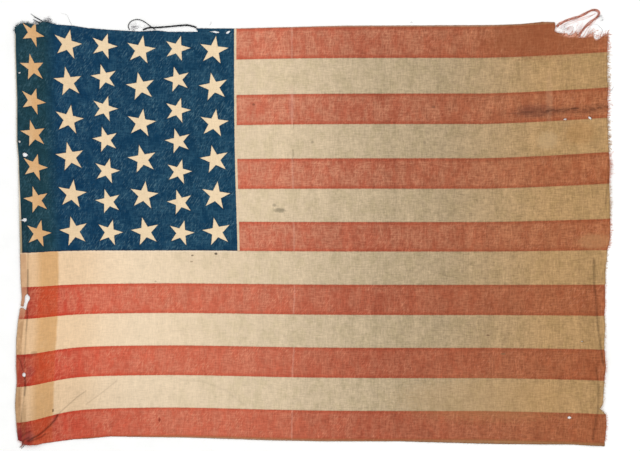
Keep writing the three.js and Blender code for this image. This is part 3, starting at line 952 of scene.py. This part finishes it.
def flatPlaces(points):
    # the flat cloth's coordinates, in metres, of points on the laid one
    x, y = points[:, 0] / mm, points[:, 1] / mm
    swing = pull["swung"]
    bulge = np.exp(-((y - swing["centre"]) / swing["reach"]) ** 2)
    across = x + pull["left"] - bulge * (swing["by"] - swing["less"] * np.clip((x + 480) / 345, 0, 1.6))
    even = (pull["top"] - y) * pull["stretch"]
    across += patchOf(pull["starsIn"], across, even) + patchOf(pull["topStarsIn"], across, even)
    down = even.copy()
    for _ in range(4):
        down = even - sagAt(across, down) * pull["stretch"]
    return np.stack([across * mm, flatHeight - down * mm], axis=1)


# Creases, listed: their line, height (below 0 for a groove), half width, and how much shade is painted along
# them

creases = (
    {"line": [(-488, -62), (-488.2, -104)], "height": -0.9, "width": 1.5, "shade": 0.85},
    {"line": [(-488.8, -128), (-489.4, -150), (-491, -166)], "height": -0.9, "width": 1.5, "shade": 0.7},
    {"line": [(-491, -166), (-492, -190), (-494, -210), (-493.2, -229)], "height": -0.6, "width": 1.6,
     "shade": 0.4},
    {"line": [(-503.7, -213), (-500, -219), (-498, -227.8), (-495.7, -234.6)], "height": -0.6, "width": 1.2,
     "shade": 0.6},
    {"line": [(-494.3, -240), (-492.6, -250), (-492.8, -264), (-493.8, -276)], "height": -1.0, "width": 1.7,
     "shade": 0.9},
    {"line": [(-493.8, -276), (-495.5, -288), (-498.3, -305), (-500, -325)], "height": -0.6, "width": 1.6,
     "shade": 0.35},
    {"line": [(-502.5, -262), (-503, -285), (-502, -310)], "height": -0.4, "width": 1.4, "shade": 0.3},
    {"line": [(-488, -2), (-487.6, -30), (-488, -62)], "height": -0.5, "width": 1.6, "shade": 0.35},
    {"line": [(-498.6, 50), (-497.6, 20), (-496.6, -30)], "height": -0.6, "width": 1.1, "shade": 0.6},
    {"line": [(-487.5, -353.5), (-476.1, -347.3), (-467.5, -342.2), (-459, -335.4), (-450.4, -327.7),
              (-441.9, -318.3), (-436.8, -309.8)], "height": -1.5, "width": 2.0, "shade": 0.9},
    {"line": [(-436.8, -309.8), (-430.8, -303), (-416.3, -290), (-402.6, -278), (-388.9, -268.7)],
     "height": -0.8, "width": 1.1, "shade": 0.42},
    {"line": [(-388, -291), (-361, -271), (-337, -252)], "height": -0.5, "width": 1.0, "shade": 0.24},
    {"line": [(-485, -354.5), (-474.4, -350.8), (-464, -346.5), (-457.3, -341.3)], "height": -1.1,
     "width": 1.6, "shade": 0.7},
    {"line": [(-498, -346), (-492, -341), (-484, -338)], "height": -0.8, "width": 1.5, "shade": 0.5},
    {"line": [(-499, -361), (-494, -352), (-486, -348)], "height": -0.9, "width": 1.6, "shade": 0.7},
    {"line": [(-484, -349), (-470, -338), (-455, -324), (-446, -312)], "height": 1.3, "width": 3.4,
     "shade": 0},
    {"line": [(478, -46), (478, -82), (482, -120), (484, -154), (490, -199), (494, -224)], "height": -0.9,
     "width": 2.3, "shade": 0.55},
    {"line": [(474, -46), (473.6, -82), (477.6, -120), (479.6, -154), (485, -196)], "height": 0.8,
     "width": 2.6, "shade": 0},
    {"line": [(481, -228), (486, -266), (485, -303), (481, -315), (476, -351)], "height": -0.8, "width": 2.2,
     "shade": 0.5},
    {"line": [(453, -151), (460, -162), (468.5, -175)], "height": -0.5, "width": 1.5, "shade": 0.16},
    {"line": [(444.6, -257), (450, -276), (458, -298)], "height": -0.5, "width": 1.5, "shade": 0.16},
    {"line": [(472, -298), (480, -282), (489, -260)], "height": -0.5, "width": 1.5, "shade": 0.16},
    {"line": [(502.9, 126), (501.7, 88), (498.2, 52)], "height": -0.7, "width": 1.5, "shade": 0.5},
    {"line": [(-34.4, 188), (-35, 179)], "height": -0.4, "width": 0.8, "shade": 0.45},
    {"line": [(-35.4, 143), (-35, 132), (-37, 129), (-33.5, 122)], "height": -0.4, "width": 0.8,
     "shade": 0.5},
    {"line": [(-36, -158), (-37, -196)], "height": 0.4, "width": 2, "shade": 0.12},
    {"line": [(173, -48.5), (204.6, -66.7), (243, -75.8)], "height": -0.5, "width": 2, "shade": 0.16},
    {"line": [(-228, -250), (-190, -252), (-150, -268), (-120, -292)], "height": -0.5, "width": 2.4,
     "shade": 0.14},
)

cloth = {
    "thickness": 0.8, "below": 0.3, "smoothing": 6, "ripple": 0.45, "crumple": 0.18, "gap": 0.06,
    "creaseRows": (-1.6, -0.8, 0, 0.8, 1.6), "creaseSpacing": 2.2,
    "creaseOffRim": 0.8, "gridOffRim": 1.3, "gridOffCrease": 1.1,
    "columns": ((-511, -482, 1.9), (-482, -380, 3.3), (-380, 440, 4.9), (440, 512, 2.7)),
    "rows": ((-366, -262, 3.3), (-262, 367, 4.9)),
}


def gridLines(spans):
    found = [np.linspace(low, high, int((high - low) / step), endpoint=False) for low, high, step in spans]
    return np.concatenate([*found, [spans[-1][1]]]) * mm


def distanceToLine(points, line):
    # of each point, in metres, to a polyline given in millimetres
    best = np.full(len(points), 1e9)
    line = np.array(line, float) * mm
    for start, end in zip(line[:-1], line[1:]):
        way = end - start
        t = np.clip((points - start) @ way / (way @ way), 0, 1)
        best = np.minimum(best, np.linalg.norm(points - start - t[:, None] * way, axis=1))
    return best


def distanceTo(points, targets):
    # of each point to the nearest of the targets, in plan
    tree = KDTree(len(targets))
    for i, (x, y) in enumerate(targets):
        tree.insert((x, y, 0), i)
    tree.balance()
    return np.array([tree.find((x, y, 0))[2] for x, y in points])


def hoistPosition(y):
    # x of the hoist edge at each height
    loop = solidLoops[0]
    hoist = loop[loop[:, 0] < clothLow.x + 12 * mm]
    hoist = hoist[np.argsort(hoist[:, 1])]
    return np.interp(y, hoist[:, 1], hoist[:, 0])


def creasePoints():
    # rows of points along each crease, so that its groove has a sharp section
    found = []
    for fold in creases:
        line = evenly(smoothCurve(np.array(fold["line"]) * mm, 6), cloth["creaseSpacing"] * mm)
        way = np.gradient(line, axis=0)
        across = np.stack([-way[:, 1], way[:, 0]], axis=1) / np.linalg.norm(way, axis=1)[:, None]
        found += [line + across * share * fold["width"] * mm for share in cloth["creaseRows"]]
    return np.vstack(found)


def clothPlan():
    # flat triangles over the cut cloth, finer where it folds
    columns, rows = gridLines(cloth["columns"]), gridLines(cloth["rows"])
    grid = np.stack(np.meshgrid(columns, rows), axis=-1).reshape(-1, 2)
    rimPoints, folds = np.vstack(loops), creasePoints()
    folds = folds[inside(folds, loops)]
    folds = folds[distanceTo(folds, rimPoints) > cloth["creaseOffRim"] * mm]
    grid = grid[inside(grid, loops)]
    grid = grid[distanceTo(grid, rimPoints) > cloth["gridOffRim"] * mm]
    grid = grid[distanceTo(grid, folds) > cloth["gridOffCrease"] * mm]
    points, edges = [], []
    for loop in loops:
        first = len(points)
        points += [tuple(p) for p in loop]
        edges += [(first + i, first + (i + 1) % len(loop)) for i in range(len(loop))]
    points += [tuple(p) for p in np.vstack([grid, folds])]
    made = delaunay_2d_cdt([Vector(p) for p in points], edges, [], 0, 1e-7)
    places = np.array([p[:] for p in made[0]])
    faces = np.array([face[:3] for face in made[2]])
    return places, faces[inside(places[faces].mean(axis=1), loops)]


def solidTop(places):
    # the solid's upper face under each point
    tree = BVHTree.FromObject(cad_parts["cloth"], bpy.context.evaluated_depsgraph_get())
    hits = [tree.ray_cast(Vector((x, y, 0.1)), Vector((0, 0, -1)))[0] for x, y in places]
    found = np.array([hit.z if hit else -1 for hit in hits])
    missed = found < 0
    known = KDTree(int((~missed).sum()))
    heights = found[~missed]
    for i, (x, y) in enumerate(places[~missed]):
        known.insert((x, y, 0), i)
    known.balance()
    found[missed] = [heights[known.find((x, y, 0))[1]] for x, y in places[missed]]
    return found


def settle(heights, faces, rounds):
    # evens out the heights between neighbours
    edges = np.vstack([faces[:, [0, 1]], faces[:, [1, 2]], faces[:, [2, 0]]])
    count = np.bincount(edges.ravel(), minlength=len(heights)).clip(1)
    for _ in range(rounds):
        total = np.bincount(edges[:, 0], heights[edges[:, 1]], len(heights))
        total += np.bincount(edges[:, 1], heights[edges[:, 0]], len(heights))
        heights = 0.4 * heights + 0.6 * total / count
    return heights


def layCloth():
    places, faces = clothPlan()
    used = np.unique(faces)
    renumber = np.full(len(places), -1)
    renumber[used] = np.arange(len(used))
    places, faces = places[used], renumber[faces]
    heights = settle(solidTop(places), faces, cloth["smoothing"]) - cloth["below"] * mm
    ripple = [noise.noise(Vector((x * 17, y * 22, 2))) + 0.5 * noise.noise(Vector((x * 48, y * 40, 7)))
              for x, y in places]
    crumple = [noise.noise(Vector((x * 150, y * 130, 4))) for x, y in places]
    heights += cloth["ripple"] * mm * np.array(ripple) + cloth["crumple"] * mm * np.array(crumple)
    shade = np.zeros(len(places))
    for fold in creases:
        profile = np.exp(-(distanceToLine(places, fold["line"]) / (fold["width"] * mm)) ** 2)
        heights += fold["height"] * mm * profile
        shade = np.maximum(shade, fold["shade"] * profile ** 1.2)
    heights = np.maximum(heights, (cloth["thickness"] + cloth["gap"]) * mm)
    triangles = [tuple(face) for face in faces.tolist()]
    made = meshObject("bunting_cloth", np.column_stack([places, heights]), triangles, materials["cloth"])
    flat = flatPlaces(places)
    layer = made.data.uv_layers.new(name="flat")
    corner = np.array([loop.vertex_index for loop in made.data.loops])
    layer.uv.foreach_set("vector", flat[corner].astype(np.float32).ravel())
    # the crease attribute is the painted shade along each crease
    values = {"crease": shade, "fromRim": distanceTo(places, np.vstack(loops)),
              "fromHoist": places[:, 0] - hoistPosition(places[:, 1])}
    for name, value in values.items():
        made.data.attributes.new(name, "FLOAT", "POINT").data.foreach_set("value", value.astype(np.float32))
    bm = bmesh.new()
    bm.from_mesh(made.data)
    bmesh.ops.join_triangles(bm, faces=bm.faces, angle_face_threshold=0.7, angle_shape_threshold=0.7)
    bmesh.ops.recalc_face_normals(bm, faces=bm.faces)
    if sum(face.normal.z for face in bm.faces) < 0:
        bmesh.ops.reverse_faces(bm, faces=bm.faces)
    bm.to_mesh(made.data)
    bm.free()
    shadeSmooth(made)
    wall = made.modifiers.new("thickness", "SOLIDIFY")
    wall.thickness = cloth["thickness"] * mm
    wall.offset = -1
    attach(made, "root")
    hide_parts("cloth")
    return made


sheet = layCloth()
print("cloth laid:", len(sheet.data.polygons), "faces")


# Ravelled yarn ends along the worn edges, by Geometry Nodes

fraying = {
    "curl": 0.9, "seed": 11, "holeHasFewer": 100, "longInHoles": 1.6, "rooted": 0.6, "leanSpread": 16,
    "lowest": 0.15,
}

# Where the edge frays: its box on the laid cloth, spacing, longest end, share of places, lean in
# degrees, and thickness
frayZones = (
    {"box": (484, -354, 512, -25), "spacing": 0.5, "long": 4.6, "share": 0.88, "lean": 0, "thick": 0.16},
    {"box": (484, -25, 512, 324), "spacing": 0.38, "long": 6.5, "share": 0.9, "lean": 0, "thick": 0.18},
    {"box": (484, 100, 512, 324), "spacing": 0.9, "long": 10, "share": 0.75, "lean": 0, "thick": 0.16},
    {"box": (408, 324, 512, 358), "spacing": 0.5, "long": 6, "share": 0.85, "lean": -40, "thick": 0.14},
    {"box": (440, 324, 512, 345), "spacing": 0.7, "long": 15, "share": 0.7, "lean": -62, "thick": 0.2},
    {"box": (-512, 345, -440, 368), "spacing": 0.45, "long": 6, "share": 0.85, "lean": 20, "thick": 0.14},
    {"box": (-440, 340, -205, 360), "spacing": 0.8, "long": 1.8, "share": 0.6, "lean": 0, "thick": 0.1},
    {"box": (-205, 344, 408, 364), "spacing": 2, "long": 1.1, "share": 0.3, "lean": 0, "thick": 0.09},
    {"box": (-512, -364, -470, 345), "spacing": 1.2, "long": 1.6, "share": 0.4, "lean": 0, "thick": 0.09},
    {"box": (-470, -366, 484, -344), "spacing": 2.4, "long": 1.2, "share": 0.3, "lean": 0, "thick": 0.09},
    {"box": (-505, -368, -480, -350), "spacing": 0.6, "long": 4.5, "share": 0.8, "lean": 25, "thick": 0.13},
)


def frayPoints():
    # places, outward ways, lengths and thicknesses of the loose ends
    draw = random.Random(fraying["seed"])
    rooted = fraying["rooted"] * mm
    places, ways, lengths, thick = [], [], [], []
    for zone in frayZones:
        x0, y0, x1, y1 = (value * mm for value in zone["box"])
        for points, outward in ragged:
            closed = np.vstack([np.hstack([points, outward]), np.hstack([points, outward])[:1]])
            inHole = len(points) <= fraying["holeHasFewer"]
            longest = min(zone["long"], fraying["longInHoles"]) if inHole else zone["long"]
            for x, y, wayX, wayY in evenly(closed, zone["spacing"] * mm, places=2):
                if not (x0 <= x < x1 and y0 <= y < y1) or draw.random() > zone["share"]:
                    continue
                lean = math.radians(zone["lean"] + draw.gauss(0, fraying["leanSpread"]))
                away = Vector((wayX, wayY)).normalized()
                away.rotate(Matrix.Rotation(lean, 2))
                places.append((x - away.x * rooted, y - away.y * rooted))
                ways.append((away.x, away.y, draw.uniform(-0.1, 0.06)))
                lengths.append(longest * mm * (0.15 + 0.85 * draw.random() ** 1.7))
                thick.append(zone["thick"] * mm * draw.uniform(0.7, 1.3))
    return [np.array(values) for values in (places, ways, lengths, thick)]


def namedValue(tree, name, kind="FLOAT"):
    node = addNode(tree, "GeometryNodeInputNamedAttribute", data_type=kind)
    node.inputs["Name"].default_value = name
    return node.outputs["Attribute"]


def frayTree():
    tree = bpy.data.node_groups.new("ravelled ends", "GeometryNodeTree")
    tree.interface.new_socket(name="Geometry", in_out="INPUT", socket_type="NodeSocketGeometry")
    tree.interface.new_socket(name="Curl", in_out="INPUT", socket_type="NodeSocketFloat")
    tree.interface.new_socket(name="Ends", in_out="INPUT", socket_type="NodeSocketMaterial")
    tree.interface.new_socket(name="Geometry", in_out="OUTPUT", socket_type="NodeSocketGeometry")
    start, end = tree.nodes.new("NodeGroupInput"), tree.nodes.new("NodeGroupOutput")
    line = addNode(tree, "GeometryNodeCurvePrimitiveLine", mode="POINTS")
    line.inputs["End"].default_value = (1, 0, 0)
    points = addNode(tree, "GeometryNodeResampleCurve")
    points.inputs["Count"].default_value = 7
    feed(tree, points.inputs["Curve"], line.outputs[0])
    keep = addNode(tree, "GeometryNodeStoreNamedAttribute", data_type="FLOAT", domain="POINT")
    keep.inputs["Name"].default_value = "along"
    feed(tree, keep.inputs["Geometry"], points.outputs[0])
    feed(tree, keep.inputs["Value"], addNode(tree, "GeometryNodeSplineParameter").outputs["Factor"])
    section = addNode(tree, "GeometryNodeCurvePrimitiveCircle", mode="RADIUS")
    section.inputs["Resolution"].default_value = 4
    section.inputs["Radius"].default_value = 1
    strand = addNode(tree, "GeometryNodeCurveToMesh")
    strand.inputs["Fill Caps"].default_value = True
    feed(tree, strand.inputs["Curve"], keep.outputs[0])
    feed(tree, strand.inputs["Profile Curve"], section.outputs[0])

    turn = addNode(tree, "FunctionNodeAlignRotationToVector", axis="X")
    feed(tree, turn.inputs["Vector"], namedValue(tree, "outward", "FLOAT_VECTOR"))
    size = addNode(tree, "ShaderNodeCombineXYZ")
    for socket, name in zip(size.inputs, ("reach", "thick", "thick")):
        feed(tree, socket, namedValue(tree, name))
    place = addNode(tree, "GeometryNodeInstanceOnPoints")
    for name, value in (("Points", start.outputs["Geometry"]), ("Instance", strand.outputs[0]),
                        ("Rotation", turn.outputs[0]), ("Scale", size.outputs[0])):
        feed(tree, place.inputs[name], value)
    realize = addNode(tree, "GeometryNodeRealizeInstances")
    feed(tree, realize.inputs[0], place.outputs[0])

    wander = addNode(tree, "ShaderNodeTexNoise")
    feed(tree, wander.inputs["Vector"], addNode(tree, "GeometryNodeInputPosition").outputs[0])
    wander.inputs["Scale"].default_value = 210
    wander.inputs["Detail"].default_value = 1
    centred = move(tree, "SUBTRACT", wander.outputs["Color"], (0.5, 0.5, 0.5))
    flatter = move(tree, "MULTIPLY", centred, (1, 1, 0.35))
    amount = product(tree, namedValue(tree, "along"), namedValue(tree, "reach"), start.outputs["Curl"])
    shift = addNode(tree, "GeometryNodeSetPosition")
    feed(tree, shift.inputs["Geometry"], realize.outputs[0])
    feed(tree, shift.inputs["Offset"], scaled(tree, flatter, amount))
    dressed = addNode(tree, "GeometryNodeSetMaterial")
    feed(tree, dressed.inputs["Geometry"], shift.outputs[0])
    feed(tree, dressed.inputs["Material"], start.outputs["Ends"])
    feed(tree, end.inputs[0], dressed.outputs[0])
    return tree


def grownFrom(name, places, attributes, tree, settings):
    # runs a tree over bare points and keeps the result as a plain mesh
    seedling = meshObject(name + "_points", places, [])
    for label, (kind, values) in attributes.items():
        key = "vector" if kind == "FLOAT_VECTOR" else "value"
        layer = seedling.data.attributes.new(label, kind, "POINT")
        layer.data.foreach_set(key, values.astype(np.float32).ravel())
    modifier = seedling.modifiers.new("grow", "NODES")
    modifier.node_group = tree
    for item in tree.interface.items_tree:
        if item.name in settings and item.in_out == "INPUT":
            modifier[item.identifier] = settings[item.name]
    mesh = bpy.data.meshes.new_from_object(seedling.evaluated_get(bpy.context.evaluated_depsgraph_get()))
    bpy.data.objects.remove(seedling)
    made = bpy.data.objects.new(name, mesh)
    mesh.name = name
    bpy.context.scene.collection.objects.link(made)
    return made


def besideCloth(places):
    # the height of the laid cloth's middle at places near its edge
    middle = cloth["thickness"] / 2 * mm
    tree = KDTree(len(sheet.data.vertices))
    for i, vertex in enumerate(sheet.data.vertices):
        tree.insert((vertex.co.x, vertex.co.y, 0), i)
    tree.balance()
    return np.array([sheet.data.vertices[tree.find((x, y, 0))[1]].co.z for x, y in places]) - middle


def frayedEnds():
    places, ways, lengths, thick = frayPoints()
    flat = flatPlaces(places)
    made = grownFrom(
        "frayed_ends", np.column_stack([places, besideCloth(places)]),
        {"outward": ("FLOAT_VECTOR", ways), "reach": ("FLOAT", lengths), "thick": ("FLOAT", thick),
         "flat": ("FLOAT_VECTOR", np.column_stack([flat, np.zeros(len(flat))]))},
        frayTree(), {"Curl": fraying["curl"], "Ends": materials["ends"]})
    for vertex in made.data.vertices:
        vertex.co.z = max(vertex.co.z, fraying["lowest"] * mm)
    shadeSmooth(made)
    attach(made, "root")
    return made


ends = frayedEnds()
print("frayed ends grown:", len(ends.data.polygons), "faces")


# Single threads and curls of fibre that lie beside the edges, millimetres

threads = (
    {"line": [(-482.9, 375.2), (-475.2, 370), (-469.2, 366.6), (-460, 361)], "thick": 0.6,
     "kind": "darkFibre"},
    {"line": [(-478.6, 370.9), (-472.6, 367.3), (-463, 362.6)], "thick": 0.5, "kind": "darkFibre"},
    {"line": [(-478.6, 365.8), (-474.3, 363.2), (-466, 359.4)], "thick": 1.0, "kind": "darkFibre"},
    {"line": [(-476.9, 362.4), (-470.9, 359.8), (-464, 357)], "thick": 0.4, "kind": "darkFibre"},
    {"line": [(-491.4, 360.6), (-488, 358.4), (-482, 355)], "thick": 0.6, "kind": "darkFibre"},
    {"line": [(-510.2, 353), (-508.5, 350.9), (-503.8, 348.6)], "thick": 0.7, "kind": "darkFibre"},
    {"line": [(-508.5, 356.4), (-506, 354.7), (-502, 352)], "thick": 0.5, "kind": "darkFibre"},
    {"line": [(-505.8, 360), (-502.5, 358.2), (-498, 356.4)], "thick": 0.45, "kind": "darkFibre"},
    {"line": [(-460.7, 365.6), (-455.6, 363.2), (-449, 359.6)], "thick": 0.3, "kind": "darkFibre"},
    {"line": [(-431.6, 377), (-428.2, 375.4), (-421.4, 373.4), (-418.9, 368.4), (-416, 361.4),
              (-412.6, 356.2)], "thick": 0.2, "kind": "greyFibre"},
    {"line": [(-175, 362.4), (-175.6, 359), (-177.4, 356)], "thick": 0.25, "kind": "greyFibre"},
    {"line": [(502, 239), (505.6, 241.4), (509.4, 246), (512, 251)], "thick": 0.3, "kind": "greyFibre"},
    {"line": [(165, 360.4), (167, 361.6), (168, 359.8)], "thick": 0.3, "kind": "greyFibre"},
    {"line": [(471.6, 354), (477, 357), (483, 357.2), (489.6, 352), (493.2, 346.8), (490.6, 340.8)],
     "thick": 0.24, "kind": "greyFibre"},
    {"line": [(418, 351), (432, 359.6), (446.3, 364.6), (463.4, 369.6), (478, 374)], "thick": 0.3,
     "kind": "palePink"},
    {"line": [(420, 350), (436, 357.4), (450, 363.4), (466, 367.6), (481, 376)], "thick": 0.3,
     "kind": "palePink"},
    {"line": [(484, 372), (477, 364), (466, 354), (457, 342)], "thick": 0.4, "kind": "palePink"},
    {"line": [(486, 374), (480, 362), (469, 352), (461, 338)], "thick": 0.3, "kind": "palePink"},
    {"line": [(440, 352), (441.6, 346), (438, 341)], "thick": 0.3, "kind": "palePink"},
    {"line": [(-502, -365), (-497, -361), (-490, -357)], "thick": 0.8, "kind": "darkFibre"},
    {"line": [(-499, -367), (-494, -361.5), (-487, -356)], "thick": 0.6, "kind": "darkFibre"},
)

# Tangles of fine fibre: middle, spread, size of the curls, count, and which fibre
tangles = (
    {"at": (431, 351), "spread": (7, 5), "curl": 7, "count": 9, "kind": "greyFibre"},
    {"at": (434, 349), "spread": (9, 4), "curl": 6, "count": 12, "kind": "palePink"},
    {"at": (456, 354), "spread": (12, 7), "curl": 8, "count": 12, "kind": "palePink"},
    {"at": (460, 352), "spread": (12, 6), "curl": 8, "count": 7, "kind": "greyFibre"},
    {"at": (490, 368), "spread": (4, 7), "curl": 5, "count": 12, "kind": "greyFibre"},
    {"at": (484, 339), "spread": (12, 3), "curl": 6, "count": 12, "kind": "palePink"},
    {"at": (-307, 355), "spread": (4, 7), "curl": 5, "count": 20, "kind": "greyFibre"},
    {"at": (-455, 364), "spread": (8, 5), "curl": 5, "count": 34, "kind": "greyFibre"},
    {"at": (-478, 358), "spread": (8, 3), "curl": 4, "count": 20, "kind": "greyFibre"},
    {"at": (-300, 352), "spread": (8, 4), "curl": 4, "count": 9, "kind": "greyFibre"},
)


fibres = {"seed": 21, "resting": 0.4, "finest": 0.06, "thickest": 0.15}


def curledFibre(draw, tangle):
    # a thin arc of fibre, somewhere in its tangle
    x, y = (at + spread * draw.gauss(0, 0.5) for at, spread in zip(tangle["at"], tangle["spread"]))
    radius = tangle["curl"] * draw.uniform(0.4, 1.2)
    start, sweep = draw.uniform(0, 6.3), draw.uniform(1.5, 4.5)
    points = []
    for t in np.linspace(0, 1, 12):
        angle = start + sweep * t
        far = radius * (1 - 0.4 * t)
        height = 0.9 + 0.5 * math.sin(3 * t)
        points.append((x + far * math.cos(angle), y + far * math.sin(angle) * 0.8, height))
    return np.array(points) * mm


def strayFibres():
    # one piece for each kind of fibre
    draw = random.Random(fibres["seed"])
    tubes = {"greyFibre": [], "darkFibre": [], "palePink": []}
    for thread in threads:
        height = thread["thick"] + fibres["resting"]
        line = smoothCurve(np.array([(x, y, height) for x, y in thread["line"]]) * mm, 6)
        taper = [thread["thick"] * mm * (0.5 + 0.5 * t) for t in np.linspace(0, 1, len(line))]
        tubes[thread["kind"]].append(tubeAlong(line, taper, 5))
    for tangle in tangles:
        for _ in range(tangle["count"]):
            line = curledFibre(draw, tangle)
            radius = draw.uniform(fibres["finest"], fibres["thickest"]) * mm
            tubes[tangle["kind"]].append(tubeAlong(line, [radius] * len(line), 4))
    made = []
    for name, parts in tubes.items():
        piece = meshObject("stray_" + name, *joined(parts), materials[name])
        shadeSmooth(piece)
        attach(piece, "root")
        made.append(piece)
    return made


strays = strayFibres()
print("stray fibres laid")


# Floor, light and view

studio = {
    "floor": (248, 248, 247), "reach": 4, "ambient": 0.97, "key": 14.0, "keySize": (1.6, 1.2),
    "keyAt": (1.6, 1.2, 2.0),
}


def makeStudio():
    far = studio["reach"]
    corners = [(-far, -far, 0), (far, -far, 0), (far, far, 0), (-far, far, 0)]
    floor = meshObject("floor", corners, [(0, 1, 2, 3)])
    material, tree, shader = newMaterial("pale floor", roughness=0.8)
    spot = addNode(tree, "ShaderNodeTexCoord").outputs["Object"]
    mottle = grain(tree, spot, 30, 3)
    first, second = [paint(*[part + more for part in studio["floor"]]) for more in (0, 4)]
    feed(tree, shader.inputs["Base Color"], ramp(tree, mottle, [(0.3, first), (0.7, second)]))
    floor.data.materials.append(material)
    world = bpy.data.worlds.new("studio")
    world.use_nodes = True
    backdrop = world.node_tree.nodes["Background"]
    backdrop.inputs["Color"].default_value = (1, 1, 1, 1)
    backdrop.inputs["Strength"].default_value = studio["ambient"]
    bpy.context.scene.world = world
    light = bpy.data.lights.new("key", "AREA")
    light.shape = "RECTANGLE"
    light.size, light.size_y = studio["keySize"]
    light.energy = studio["key"]
    lamp = bpy.data.objects.new("key", light)
    lamp.location = studio["keyAt"]
    lamp.rotation_euler = (-lamp.location).to_track_quat("-Z", "Y").to_euler()
    bpy.context.scene.collection.objects.link(lamp)
    bpy.context.scene.view_settings.view_transform = "Standard"


makeStudio()
print("studio made")
